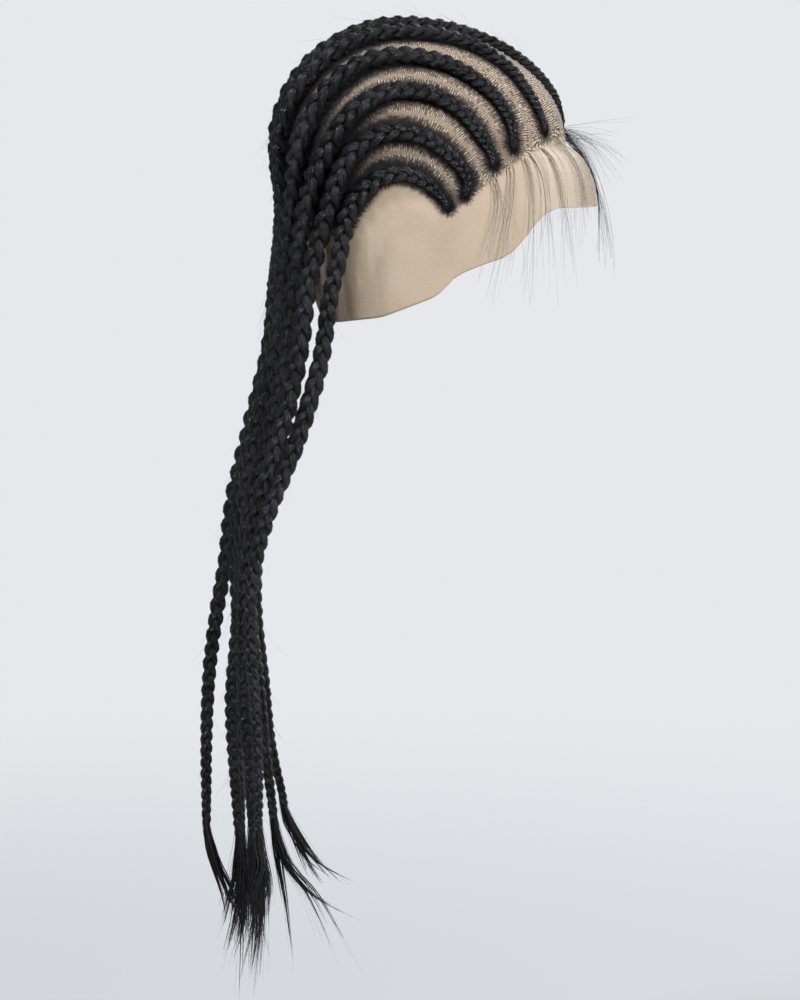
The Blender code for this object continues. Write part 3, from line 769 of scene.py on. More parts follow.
@dataclass
class PlaitRoute:
    """Centre line of one plait: over the cap as a cornrow, then down behind it."""

    name: str
    cap: CapShape
    width: float = 0.0135
    thickness: float = 0.0100
    gap: float = 0.0005
    end_depth: float = 0.545
    seat: float = 0.0006
    cap_steps: int = 8
    hanging_steps: int = 12
    centres: np.ndarray = field(init=False)
    normals: np.ndarray = field(init=False)
    shares: np.ndarray = field(init=False)
    feet: np.ndarray = field(init=False)

    def __post_init__(self) -> None:
        """Work out the line."""
        mirror = -1 if self.name.startswith("l") else 1
        row = self.name.replace("l", "r")
        size = PLAIT_SIZES[self.name[-1]]
        centres, normals, shares, feet = self.on_cap(row, mirror, size)
        below = self.hanging_points(row, mirror, centres[-1])
        lead = [centres[-1 - self.cap_steps], centres[-1]]
        route = smooth_route(lead + below, self.hanging_steps)[self.hanging_steps + 1:]
        lengths = [0.0]
        for start, end in zip(route, route[1:]):
            lengths.append(lengths[-1] + (end - start).length)
        normal = normals[-1]
        twist = -mirror * math.radians(HANGING_TWISTS[self.name[-1]])
        before = centres[-1]
        for point, length in zip(route, lengths):
            along = (point - before).normalized()
            normal = (normal - along * normal.dot(along)).normalized()
            progress = length / lengths[-1]
            turned = normal.copy()
            turned.rotate(Quaternion(along, twist * ease(progress)))
            centres.append(point)
            normals.append(turned)
            shares.append(size * read_table(HANGING_TAPER, progress))
            before = point
        self.centres = np.array(centres)
        self.normals = np.array(normals)
        self.shares = np.array(shares)
        self.feet = np.array(feet)

    def on_cap(self, row: str, mirror: int, size: float) -> tuple[list, list, list, list]:
        """Stretch on the cap.

        Args:
            row: the cornrow's name on the right side.
            mirror: -1 on the left side.
            size: the plait's size.

        Returns:
            Centres, normals, size shares, and the places on the cap below the centres.
        """
        turns = [(turn, lean, 0) for turn, lean in CORNROWS[row]]
        samples = smooth_route(turns, self.cap_steps)
        flip = Vector((mirror, 1, 1))
        centres, normals, shares, feet = [], [], [], []
        for index, sample in enumerate(samples):
            share = size * read_table(CAP_TAPER, index / (len(samples) - 1))
            foot = self.cap.point(sample.x, sample.y)
            normal = self.cap.normal(sample.x, sample.y)
            centre = foot + normal * (self.seat + self.thickness * share / 2)
            centres.append(centre * flip)
            normals.append(normal * flip)
            feet.append(foot * flip)
            shares.append(share)
        return centres, normals, shares, feet

    def hanging_points(self, row: str, mirror: int, leaves: Vector) -> list[Vector]:
        """Chosen points of the plait below the cap."""
        lane_pitch = self.width + self.gap
        head_pitch = self.cap.half_width / LANES_IN_HALF_CAP
        end_height = -self.end_depth * PLAIT_ENDS[self.name]
        points = []
        for index, drop in enumerate(HANGING_DROPS):
            hold = HANGING_HOLD[index]
            pitch = hold * head_pitch + (1 - hold) * lane_pitch
            across = -mirror * pitch * HANGING_LANES[row][index]
            back = self.cap.back_reach * HANGING_BACKS[self.name][index]
            height = leaves.z + drop * (end_height - leaves.z)
            points.append(Vector((across, back, height)))
        return points

    def frames(self, stations: np.ndarray) -> tuple[np.ndarray, ...]:
        """Centres, directions, sides, normals and widths along the line.

        Args:
            stations: distances along the centre line.

        Returns:
            Five arrays, a row for each station.
        """
        lengths = stations_along(self.centres)
        centres = read_rows(self.centres, lengths, stations)
        normals = read_rows(self.normals, lengths, stations)
        slopes = np.gradient(self.centres, lengths, axis=0)
        along = unit_rows(read_rows(slopes, lengths, stations))
        normals -= along * np.sum(normals * along, axis=1, keepdims=True)
        normals = unit_rows(normals)
        sides = np.cross(along, normals)
        widths = np.interp(stations, lengths, self.shares) * self.width
        return centres, along, sides, normals, widths

    def rear_spread(self, places: np.ndarray, reach: float) -> np.ndarray:
        """Extra reach of the hair beside the rear of the row.

        Args:
            places: places along the row on the cap, as shares of its length.
            reach: the most that it reaches beside an upper row; a lower row has less.

        Returns:
            The extra reach at each place.
        """
        if self.name[-1] not in UPPER_ROWS:
            reach *= LOWER_ROW_SHARE
        return reach * np.clip((places - REAR_START) / REAR_BLEND, 0, 1)

    def feet_length(self) -> float:
        """Length of the centre line on the cap."""
        return float(step_lengths(self.centres[:len(self.feet)]).sum())

    def length(self) -> float:
        """Length of the centre line."""
        return float(step_lengths(self.centres).sum())


@dataclass
class LaceCap:
    """Fine lace shell with its hem, front veil and the map of the rows."""

    shape: CapShape
    routes: dict
    columns: int = 230
    crown_rings: int = 42
    side_rings: int = 62
    hem_blend: float = 4.0
    crown_fuzz: float = 0.0020
    crown_blend: float = 1.5
    hem_fuzz: float = 0.0040
    hem_clear: float = 0.001
    # Reach of the dark root colour along the rear of the rows: hair drawn in there, and painted
    # shade in the rear partings
    rear_fuzz_and_shade: float = 0.0042
    fuzz_end: float = 0.0150
    fuzz_fade: float = 0.004
    start_reach: float = 0.030
    run_out: float = 0.060
    run_out_taper: float = 0.5
    mark_step: float = 0.0008
    row_shift: float = 0.37
    fan_radius: float = 0.007
    thickness: float = 0.0010
    hairline_blur: float = 2.0
    temple_lean: float = 75.0
    veil_start: float = 0.108
    veil_blend: float = 0.014
    veil_least: float = 0.12
    veil_most: float = 0.75

    def height_at(self, bearing: float, share: float) -> float:
        """Level of a point on the cap.

        Args:
            bearing: degrees from the front.
            share: 0 at the crown, 1 at the hem.

        Returns:
            The height.
        """
        widest = self.shape.wall - self.shape.crown_height
        split = self.crown_rings / (self.crown_rings + self.side_rings)
        if share < split:
            return widest + self.shape.crown_height * math.cos(math.radians(90 * share / split))
        hem_share = 0.0
        for shift, weight in ((-self.hem_blend, 0.25), (0.0, 0.5), (self.hem_blend, 0.25)):
            around = (bearing + shift) % 360
            hem_share += weight * read_table(CAP_HEM, 180 - abs(around - 180))
        hem = self.shape.wall - self.shape.nape_depth * hem_share
        return widest + (hem - widest) * (share - split) / (1 - split)

    def build(self, outer: bpy.types.Material, inner: bpy.types.Material) -> bpy.types.Object:
        """Fold a grid into the cap, close its seam and give it a wall.

        Args:
            outer: the finish of the outer face.
            inner: the finish of the inner face.

        Returns:
            The finished cap.
        """
        rings = self.crown_rings + self.side_rings
        bpy.ops.object.select_all(action="DESELECT")
        bpy.ops.mesh.primitive_grid_add(x_subdivisions=self.columns, y_subdivisions=rings, size=1)
        cap = bpy.context.active_object
        cap.name = "lace_front_cap"
        mesh = cap.data
        flat = np.empty(len(mesh.vertices) * 3)
        mesh.vertices.foreach_get("co", flat)
        flat = flat.reshape(-1, 3)
        folded = np.empty_like(flat)
        for index, (across, down, _) in enumerate(flat):
            share = min(max(0.5 - down, 0.0), 1.0)
            if share < CROWN_TIP:
                folded[index] = (0, 0, self.shape.wall)
                continue
            bearing = (across + 0.5) * 360
            height = self.height_at(bearing, share)
            sine, cosine = math.sin(math.radians(bearing)), math.cos(math.radians(bearing))
            radius = self.shape.radius(sine, cosine, height)
            folded[index] = (-radius * sine, -radius * cosine, height)
        mesh.vertices.foreach_set("co", folded.ravel())
        mesh.update()
        select_only(cap)
        bpy.ops.object.mode_set(mode="EDIT")
        bpy.ops.mesh.select_all(action="SELECT")
        bpy.ops.mesh.remove_doubles(threshold=0.00001)
        bpy.ops.mesh.normals_make_consistent(inside=False)
        bpy.ops.object.mode_set(mode="OBJECT")
        self.map_rows(mesh)
        mesh.materials.clear()
        mesh.materials.append(outer)
        mesh.materials.append(inner)
        apply_modifier(cap, "SOLIDIFY", thickness=self.thickness, offset=-1, use_even_offset=True,
                       material_offset=1)
        cap.data.shade_smooth()
        seat_piece(cap, ("lace_cap",))
        return cap

    def row_marks(self) -> dict[str, np.ndarray]:
        """Marks close together along every row and on down the nape.

        Returns:
            Arrays by name, a row for each mark: its foot on the cap, heading, station, half width,
            extra fuzz at the back, which is hair and also painted shade in the rear partings,
            nearness to the row's start, and whether it is the first mark of a row or lies on a
            lowest row.
        """
        marks = {}
        for number, route in enumerate(self.routes.values()):
            lengths = stations_along(route.feet)
            fine = np.arange(0.0, lengths[-1] + self.run_out, self.mark_step)
            past = np.maximum(fine - lengths[-1], 0.0)
            line = read_rows(route.feet, lengths, fine)
            line[:, 2] -= past
            half = np.interp(fine, lengths, route.shares[:len(lengths)]) * route.width / 2
            row = {
                "foot": line,
                "heading": unit_rows(np.gradient(line, axis=0)),
                "station": fine + number * self.row_shift,
                "half": half - past * self.run_out_taper,
                "back": route.rear_spread(fine / lengths[-1], self.rear_fuzz_and_shade),
                "start": 1 - ease(np.clip(fine / self.start_reach, 0, 1)),
                "is_first": (fine < self.mark_step / 2).astype(float),
                "is_lowest": np.full(len(fine), float(route.name[-1] == LOWEST_ROW)),
            }
            for name, values in row.items():
                marks.setdefault(name, []).append(values)
        return {name: np.concatenate(parts) for name, parts in marks.items()}

    def nearest_marks(self, coords: np.ndarray, feet: np.ndarray) -> tuple[np.ndarray, np.ndarray]:
        """Find the mark nearest to each point.

        Args:
            coords: the points.
            feet: where the marks are.

        Returns:
            The number of each point's mark, and how far it is.
        """
        nearest = np.empty(len(coords), int)
        distance = np.empty(len(coords))
        for low in range(0, len(coords), POINTS_AT_ONCE):
            some = slice(low, low + POINTS_AT_ONCE)
            offsets = coords[some, None, :] - feet[None, :, :]
            squares = np.einsum("ijk,ijk->ij", offsets, offsets)
            nearest[some] = squares.argmin(1)
            distance[some] = np.sqrt(squares.min(1))
        return nearest, distance

    def directions(self, points: np.ndarray) -> tuple[np.ndarray, np.ndarray]:
        """Lean and turn of points from the fan point, in degrees."""
        ways = unit_rows(points - np.array(self.shape.centre()))
        lean = np.degrees(np.arcsin(np.clip(np.abs(ways[:, 0]), 0, 1)))
        turn = np.degrees(np.arctan2(ways[:, 2], -ways[:, 1]))
        return lean, turn

    def map_rows(self, mesh: bpy.types.Mesh) -> None:
        """Write where each point lies beside its nearest row, and how sheer the lace is there."""
        coords = np.empty(len(mesh.vertices) * 3)
        mesh.vertices.foreach_get("co", coords)
        coords = coords.reshape(-1, 3)
        marks = self.row_marks()
        nearest, distance = self.nearest_marks(coords, marks["foot"])
        near = {name: values[nearest] for name, values in marks.items()}
        offsets = coords - near["foot"]
        lengthways = np.sum(offsets * near["heading"], axis=1)
        sideways = np.linalg.norm(offsets - near["heading"] * lengthways[:, None], axis=1)
        ahead = np.arctan2(np.maximum(-lengthways, 0.0), sideways)
        shift = np.clip(lengthways, -self.mark_step, self.mark_step)
        shift -= ahead * self.fan_radius * near["is_first"]
        lean, turn = self.directions(coords)
        foot_lean, _ = self.directions(near["foot"])
        line = np.interp(lean, *zip(*HAIRLINE))
        behind = np.clip((turn - line) / self.hairline_blur + 0.5, 0, 1)
        behind *= lean < self.temple_lean
        sheer = ease(np.clip((-coords[:, 1] - self.veil_start) / self.veil_blend, 0, 1))
        veil = self.veil_least + (self.veil_most - self.veil_least) * sheer
        veil *= 1 - behind
        crownward = np.clip((foot_lean - lean) / self.crown_blend, 0, 1)
        below_rows = near["is_lowest"] * (1 - crownward)
        fuzz = self.crown_fuzz * np.maximum(crownward, near["start"])
        # Painted shade: the dark root colour reaches further over the rear partings, beside the hair
        # combed in there
        fuzz += near["back"] * (1 - below_rows)
        fuzz *= np.clip((self.fuzz_end - distance) / self.fuzz_fade, 0, 1)
        beyond = distance - near["half"] - fuzz
        behind *= 1 - below_rows * np.clip((beyond - self.hem_clear) / self.hem_fuzz, 0, 1)
        rows = mesh.uv_layers.new(name="rows")
        loops = np.empty(len(mesh.loops), int)
        mesh.loops.foreach_get("vertex_index", loops)
        along = near["station"] + shift
        for name, values in (("field", behind), ("veil", veil)):
            attribute = mesh.attributes.new(name, "FLOAT", "POINT")
            attribute.data.foreach_set("value", values.astype(np.float32))
        values = np.stack([along[loops], beyond[loops]], 1)
        rows.data.foreach_set("uv", values.ravel().astype(np.float32))


@dataclass
class BraidWeave:
    """Three strands woven along a plait's centre line."""

    route: PlaitRoute
    period: float = 2.95
    cap_period: float = 2.05
    tight_share: float = 0.12
    loosen_share: float = 0.48
    cap_roll: float = 14.0
    roll_blend: float = 0.02
    settle: float = 0.06
    sway: float = 0.285
    depth: float = 0.19
    hanging_depth: float = 0.145
    strand: float = 0.235
    unevenness: float = 0.05
    samples: int = 6000
    steps: int = 14
    twist: float = 0.9
    start_taper: float = 0.020
    start_size: float = 0.36
    start_sink: float = 0.34
    fibres_per_lobe: int = 6
    fibre_points: int = 6
    fibre_radius: float = 0.00015
    fibre_arc: float = 1.15
    fibre_drift: float = 0.16
    fibre_sink: float = 0.14

    def stations(self) -> tuple[np.ndarray, np.ndarray]:
        """Places along the plait at an even pace of its weave.

        Returns:
            Distances along the centre line, and the weave's phase there.
        """
        fine = np.linspace(0.0, self.route.length(), self.samples)
        widths = self.route.frames(fine)[4]
        share = fine / self.route.feet_length()
        blend = np.clip((share - self.tight_share) / self.loosen_share, 0, 1)
        period = self.cap_period + (self.period - self.cap_period) * blend
        pace = math.tau / (period * widths)
        phase = np.concatenate([[0.0], np.cumsum((pace[1:] + pace[:-1]) / 2 * np.diff(fine))])
        count = int(phase[-1] / math.tau * self.steps)
        even = np.linspace(0.0, phase[-1], count)
        return np.interp(even, phase, fine), even

    def strand_line(self, number: int) -> tuple[np.ndarray, np.ndarray, np.ndarray]:
        """Centre line of one strand.

        Args:
            number: 0, 1 or 2.

        Returns:
            Points, radii and phases.
        """
        stations, phase = self.stations()
        centres, _, sides, normals, widths = self.frames_at(stations)
        turn = phase + math.tau * number / 3
        across = self.sway * widths * np.sin(turn)
        on_cap = np.clip((self.route.feet_length() - stations) / self.settle + 1, 0, 1)
        depth = self.hanging_depth + (self.depth - self.hanging_depth) * on_cap
        out = depth * widths * np.sin(2 * turn)
        points = centres + sides * across[:, None] + normals * out[:, None]
        swell = np.sin(turn * 2.7 + number) + np.sin(turn * 0.61 + number * 2)
        radii = self.strand * widths * (1 + self.unevenness * swell)
        return points, radii, phase

    def surface_fibres(self, bundle: StrandBundle, rng: np.random.Generator) -> None:
        """Lay fine fibres over every lobe of the weave.

        Args:
            bundle: where the fibres are gathered.
            rng: the seeded source of random numbers.
        """
        stations, phase = self.stations()
        _, _, sides, normals, _ = self.frames_at(stations)
        steps = np.arange(self.fibre_points)
        fade = np.sin(np.pi * (steps + 0.6) / (self.fibre_points + 0.2)) ** 0.35
        for number in range(3):
            points, radii, _ = self.strand_line(number)
            along = unit_rows(np.gradient(points, axis=0))
            turn = phase + math.tau * number / 3
            lean = sides * np.sin(turn)[:, None] + normals * np.sin(2 * turn)[:, None] * 0.9
            for start in np.flatnonzero(np.diff(np.floor(turn / math.pi)) > 0):
                pick = start + 1 + steps
                if pick[-1] >= len(points):
                    continue
                inward = np.sum(lean[pick] * along[pick], axis=1, keepdims=True)
                out = unit_rows(lean[pick] - along[pick] * inward)
                beside = np.cross(along[pick], out)
                for _ in range(self.fibres_per_lobe):
                    angle = rng.uniform(-self.fibre_arc, self.fibre_arc)
                    angle = angle + rng.normal(0, self.fibre_drift) * steps / 4
                    ring = out * np.cos(angle)[:, None] + beside * np.sin(angle)[:, None]
                    reach = radii[pick] * (1 - self.fibre_sink * (1 - fade))
                    reach *= rng.uniform(0.99, 1.07)
                    thick = self.fibre_radius * rng.uniform(0.6, 1.3)
                    bundle.add(points[pick] + ring * reach[:, None], thick, thick * 0.7)

    def frames_at(self, stations: np.ndarray) -> tuple[np.ndarray, ...]:
        """The route's frames, with the plait drawn to a point where its row starts."""
        centres, along, sides, normals, widths = self.route.frames(stations)
        opening = ease(np.clip(stations / self.start_taper, 0.0, 1.0))
        opening = self.start_size + (1 - self.start_size) * opening
        centres = centres - normals * (widths * (1 - opening) * self.start_sink)[:, None]
        if self.route.name == "c":
            on_cap = np.clip((self.route.feet_length() - stations) / self.roll_blend, 0, 1)
            roll = math.radians(self.cap_roll) * on_cap[:, None]
            normals, sides = (normals * np.cos(roll) - sides * np.sin(roll),
                              sides * np.cos(roll) + normals * np.sin(roll))
        return centres, along, sides, normals, widths * opening

    def build(self, profile: bpy.types.Object, material: bpy.types.Material) -> bpy.types.Object:
        """Sweep the ridged profile along the three strands.

        Args:
            profile: the cross-section, one metre in radius.
            material: the finish of the hair.

        Returns:
            The finished plait.
        """
        name = self.route.name
        curve = bpy.data.curves.new("braid_" + name, "CURVE")
        curve.dimensions = "3D"
        curve.bevel_mode = "OBJECT"
        curve.bevel_object = profile
        curve.use_fill_caps = True
        for number in range(3):
            points, radii, phase = self.strand_line(number)
            spline = curve.splines.new("POLY")
            spline.points.add(len(points) - 1)
            spline.points.foreach_set("co", np.hstack([points, np.ones((len(points), 1))]).ravel())
            spline.points.foreach_set("radius", radii)
            spline.points.foreach_set("tilt", phase * self.twist)
            spline.use_smooth = True
        obj = bpy.data.objects.new("braid_" + name, curve)
        bpy.context.scene.collection.objects.link(obj)
        select_only(obj)
        bpy.ops.object.convert(target="MESH")
        bpy.ops.object.mode_set(mode="EDIT")
        bpy.ops.mesh.select_all(action="SELECT")
        bpy.ops.mesh.normals_make_consistent(inside=False)
        bpy.ops.object.mode_set(mode="OBJECT")
        obj = bpy.context.active_object
        obj.data.shade_smooth()
        obj.data.materials.clear()
        obj.data.materials.append(material)
        seat_piece(obj, ("plait_" + name,))
        return obj


def ridged_profile(sides: int = 16, groove: float = 0.84) -> bpy.types.Object:
    """Cross-section of a strand: a circle with every other corner drawn in.

    Args:
        sides: corners round the circle.
        groove: radius of the drawn-in corners.

    Returns:
        A curve object for bevelling, which isn't rendered.
    """
    bpy.ops.object.select_all(action="DESELECT")
    bpy.ops.mesh.primitive_circle_add(vertices=sides, radius=1.0, fill_type="NOTHING")
    obj = bpy.context.active_object
    obj.name = "strand_profile"
    for vert in obj.data.vertices:
        if vert.index % 2:
            vert.co *= groove
    bpy.ops.object.convert(target="CURVE")
    profile = bpy.context.active_object
    profile.hide_render = True
    return profile


@dataclass
class RootHair:
    """Short hair combed from the lace into both sides of the cornrows."""

    name: str
    routes: list
    surface: BVHTree
    per_metre: float = 2300.0
    reach: float = 0.0034
    crown_reach: float = 0.0066
    back_reach: float = 0.0040
    slant: float = 0.0016
    slant_spread: float = 0.0012
    lift: float = 0.00005
    bow: float = 0.0004
    radius: float = 0.00009
    start_fan: int = 60
    start_entry: float = 0.006

    def build(self, material: bpy.types.Material, rng: np.random.Generator) -> bpy.types.Object:
        """Comb the strands of every row of this side.

        Args:
            material: the finish of the hair.
            rng: the seeded source of random numbers.

        Returns:
            The finished piece.
        """
        bundle = StrandBundle(self.name)
        for route in self.routes:
            length = route.feet_length()
            count = int(length * self.per_metre)
            for way in (-1, 1):
                stations = np.sort(rng.uniform(0.0, length, count))
                centres, along, sides, normals, widths = route.frames(stations)
                outward = -1 if route.name.startswith("l") else 1
                crownward = np.sign(sides[:, 0] * way) * outward > 0
                reach = np.where(crownward, self.crown_reach, self.reach)
                reach = reach + route.rear_spread(stations / length, self.back_reach)
                spread = rng.beta(1.0, 2.8, count) * reach
                slant = rng.normal(self.slant, self.slant_spread, count)
                high = rng.uniform(-0.1, 0.32, count)
                for index in range(count):
                    half = widths[index] / 2
                    side = sides[index] * way
                    back = along[index] * slant[index]
                    low = centres[index] - normals[index] * half * 0.7
                    low = low + side * (half * 0.75 + spread[index]) - back
                    end = (centres[index] + side * half * 0.62
                           + normals[index] * half * high[index] + back)
                    self.comb(bundle, low, end, 0.45, 0.8)
            self.fan_start(bundle, route, rng)
        piece = bundle.build(material)
        seat_piece(piece)
        return piece

    def comb(self, bundle: StrandBundle, low: np.ndarray, end: np.ndarray, pull: float,
             tip: float) -> None:
        """Lay one strand from the lace into a plait.

        Args:
            bundle: where the strands are gathered.
            low: a point over the place on the lace where the strand starts.
            end: where the strand ends in the plait.
            pull: how far the strand's middle lies along the way, as a share.
            tip: its radius at the end as a share of that at the root.
        """
        place, normal, _, _ = self.surface.find_nearest(Vector(low))
        root = np.array(place + normal * self.lift)
        middle = root * (1 - pull) + end * pull + np.array(normal) * self.bow
        bundle.add(np.array([root, middle, end]), self.radius, self.radius * tip)

    def fan_start(self, bundle: StrandBundle, route: PlaitRoute, rng: np.random.Generator) -> None:
        """Comb hair into the first stitches of a row from all round its start.

        Args:
            bundle: where the strands are gathered.
            route: the row's plait.
            rng: the seeded source of random numbers.
        """
        frames = route.frames(np.array([0.0, self.start_entry]))
        centres, along, sides, normals, widths = frames
        for _ in range(self.start_fan):
            angle = rng.normal(0, 0.85)
            reach = rng.triangular(0.0012, 0.0020, 0.0078)
            way = -along[0] * math.cos(angle) + sides[0] * math.sin(angle)
            low = centres[0] - normals[0] * widths[0] * 0.3 + way * reach
            end = (centres[1] + sides[1] * widths[1] * rng.uniform(-0.22, 0.22)
                   - normals[1] * widths[1] * rng.uniform(0.05, 0.3))
            self.comb(bundle, low, end, 0.5, 1.0)


@dataclass
class LooseTail:
    """Loose fibres below a tied plait, in three locks."""

    route: PlaitRoute
    length: float = 0.110
    head: float = 0.006
    lane: float = 0.0028
    drift: float = 0.008
    splits: int = 3
    split_reach: float = 0.0048
    cores: int = 13
    fibres: int = 22
    half_lock: float = 0.0034
    core_radius: float = 0.00080
    radius: float = 0.00014
    tie_share: float = 0.36
    stray_odds: tuple = (0.0, 0.0, 0.0, 1.0)
    stray_curl: float = 0.0030

    def build(self, material: bpy.types.Material, rng: np.random.Generator) -> bpy.types.Object:
        """Spread the fibres along the locks.

        Args:
            material: the finish of the hair.
            rng: the seeded source of random numbers.

        Returns:
            The finished tail.
        """
        name = self.route.name
        tie = Vector(self.route.centres[-1])
        inside = Vector(self.route.centres[-4])
        width = self.route.shares[-1] * self.route.width
        bundle = StrandBundle("tail_hair_" + name)
        for cell, lock in enumerate(TAIL_LOCKS[name]):
            across = (cell - 1) * self.lane
            drift = rng.uniform(-self.drift, self.drift)
            points = [inside, tie + Vector((across * 0.4, 0, -self.head * 0.5))]
            for forward, drop in lock:
                points.append(Vector((tie.x + across + drift * drop * drop,
                                      tie.y - self.length * forward,
                                      tie.z - self.head - self.length * drop)))
            centre = np.array(smooth_route(points, 3))
            splits = [(rng.normal(0, self.split_reach), rng.normal(0, self.split_reach),
                       rng.uniform(0.80, 1.04)) for _ in range(self.splits)]
            for strand in range(self.cores + self.fibres):
                split = splits[strand % self.splits]
                self.lay_strand(bundle, centre, width, split, strand < self.cores, rng)
        piece = bundle.build(material)
        seat_piece(piece, ("tail_" + name,))
        return piece

    def lay_strand(self, bundle: StrandBundle, centre: np.ndarray, width: float, split: tuple,
                   is_core: bool, rng: np.random.Generator) -> None:
        """Lay one strand of a lock.

        Args:
            bundle: where the strands are gathered.
            centre: the lock's centre line.
            width: the plait's width where it is tied.
            split: sideways and forward drift at the tip, and reach, of its slimmer lock.
            is_core: whether the strand is one of the thick ones that fill the lock.
            rng: the seeded source of random numbers.
        """
        share = np.linspace(0.0, 1.0, len(centre))
        reach = rng.uniform(0.80, 1.0) if is_core else rng.uniform(0.72, 1.06)
        reach *= split[2]
        cut = share * reach
        line = read_rows(centre, share, cut)
        line += np.maximum(cut - 1, 0)[:, None] * (centre[-1] - centre[-2]) * len(share)
        places, fullness = zip(*LOCK_FULLNESS)
        halves = [self.half_lock * full for full in fullness]
        half = np.interp(cut, (0.0, *places), (width * self.tie_share, *halves))
        angle = rng.uniform(0, math.tau)
        offset = math.sqrt(rng.random()) * (0.82 if is_core else 1.12)
        stray = rng.choice(self.stray_odds) * (0.0 if is_core else 1.0)
        curl = rng.normal(0, self.stray_curl, 2) * stray
        line[:, 0] += math.cos(angle) * offset * half * 0.5 + curl[0] * share ** 2
        line[:, 1] += math.sin(angle) * offset * half + curl[1] * share ** 2
        line[:, 0] += split[0] * cut ** 2
        line[:, 1] += split[1] * cut ** 2
        if is_core:
            shape = np.interp(share, *zip(*CORE_FULLNESS))
            bundle.add_shaped(line, shape * self.core_radius * rng.uniform(0.75, 1.2))
        else:
            thick = self.radius * rng.uniform(0.6, 1.3)
            bundle.add(line, thick, thick * 0.3)


@dataclass
class HairlineWisps:
    """Baby hair: a tuft at the middle of the forehead and long strays over the front."""

    cap: CapShape
    tuft: int = 52
    tuft_strays: int = 64
    side_strays: int = 46
    clump_size: int = 7
    clumps: tuple = ((15, 0.062, -0.022), (24, 0.078, -0.019), (29, 0.052, -0.012),
                     (33, 0.090, -0.003), (38, 0.092, 0.014), (45, 0.050, 0.004),
                     (-17, 0.070, -0.020), (-27, 0.080, -0.012), (-35, 0.088, 0.002),
                     (-43, 0.070, 0.010))
    points: int = 10
    radius: float = 0.00010
    tip_share: float = 0.4

    def root(self, lean: float, inward: float) -> Vector:
        """Place on the lace where a strand leaves it.

        Args:
            lean: degrees to the wearer's right, or to the left below zero.
            inward: degrees behind the hairline.

        Returns:
            The place.
        """
        turn = read_table(HAIRLINE, abs(lean)) + inward
        return self.cap.point(turn, abs(lean)) * Vector((-1 if lean < 0 else 1, 1, 1))

    def bend(self, root: Vector, middle: tuple, end: tuple) -> np.ndarray:
        """Curve from a root through a pull point to an end, kept outside the lace.

        Args:
            root: where the strand starts.
            middle: offset from the root that the strand is pulled towards.
            end: offset from the root at which the strand ends.

        Returns:
            The strand's points.
        """
        share = np.linspace(0.0, 1.0, self.points)[:, None]
        line = (np.array(root) + 2 * share * (1 - share) * np.array(middle)
                + share * share * np.array(end))
        for index, point in enumerate(line):
            distance = math.hypot(point[0], point[1])
            if point[2] < self.cap.wall:
                face = self.cap.radius(point[0] / distance, -point[1] / distance, point[2])
                clear = face + 0.0001 + 0.0012 * min(1.0, index / 3)
                if distance < clear:
                    line[index, :2] *= clear / distance
        return line

    def lay(self, bundle: StrandBundle, root: Vector, middle: tuple, end: tuple,
            thickness: float) -> None:
        """Lay one strand, thinner towards its tip.

        Args:
            bundle: where the strands are gathered.
            root: where the strand starts.
            middle: offset from the root that the strand is pulled towards.
            end: offset from the root at which the strand ends.
            thickness: its thickness as a share of the usual.
        """
        thick = self.radius * thickness
        bundle.add(self.bend(root, middle, end), thick, thick * self.tip_share)

    def lay_tuft(self, bundle: StrandBundle, rng: np.random.Generator) -> None:
        """Lay the tuft that falls from the middle of the forehead."""
        for _ in range(self.tuft):
            root = self.root(rng.normal(0, 2.5), rng.uniform(-1.0, 2.0))
            fall = rng.uniform(0.45, 1.08)
            end = (rng.normal(0, 0.005), rng.normal(-0.032, 0.006) * fall, -0.088 * fall)
            middle = (0, rng.normal(-0.027, 0.004) * fall, rng.normal(-0.018, 0.005) * fall)
            self.lay(bundle, root, middle, end, rng.uniform(0.8, 1.6))

    def lay_tuft_strays(self, bundle: StrandBundle, rng: np.random.Generator) -> None:
        """Lay the hairs that stand off the tuft."""
        for _ in range(self.tuft_strays):
            root = self.root(rng.normal(0, 5), rng.uniform(-1.0, 3.0))
            slope = math.radians(rng.triangular(-20, 30, 80))
            length = rng.uniform(0.020, 0.056)
            end = (rng.normal(0, 0.008), -math.cos(slope) * length * 0.86,
                   -math.sin(slope) * length)
            middle = (0, end[1] * 0.6, end[2] * 0.22 + 0.0035)
            self.lay(bundle, root, middle, end, rng.uniform(0.6, 1.1))

    def lay_side_strays(self, bundle: StrandBundle, rng: np.random.Generator) -> None:
        """Lay the single long hairs over both sides of the front."""
        for _ in range(self.side_strays):
            lean = rng.triangular(6, 22, 50) * rng.choice((-1, 1))
            root = self.root(lean, rng.uniform(-1.0, 2.0))
            fall = rng.triangular(0.022, 0.05, 0.120)
            out = rng.uniform(0.001, 0.004) * (-1 if lean > 0 else 1)
            end = (out, rng.normal(-0.013, 0.008) * (fall / 0.08), -fall)
            middle = (out, end[1] * 0.8 - 0.003, -fall * rng.uniform(0.2, 0.4))
            self.lay(bundle, root, middle, end, rng.uniform(0.40, 1.0))

    def lay_clumps(self, bundle: StrandBundle, rng: np.random.Generator) -> None:
        """Lay the slim locks of a few hairs each."""
        for lean, fall, drift in self.clumps:
            out = 0.003 * (-1 if lean > 0 else 1)
            for _ in range(self.clump_size):
                root = self.root(lean + rng.normal(0, 0.9), rng.uniform(-1.0, 1.0))
                length = fall * rng.uniform(0.75, 1.05)
                end = (out, drift + rng.normal(0, 0.0022), -length)
                middle = (out, -0.009 + drift * 0.4 + rng.normal(0, 0.0010), -length * 0.28)
                self.lay(bundle, root, middle, end, rng.uniform(0.7, 1.3))

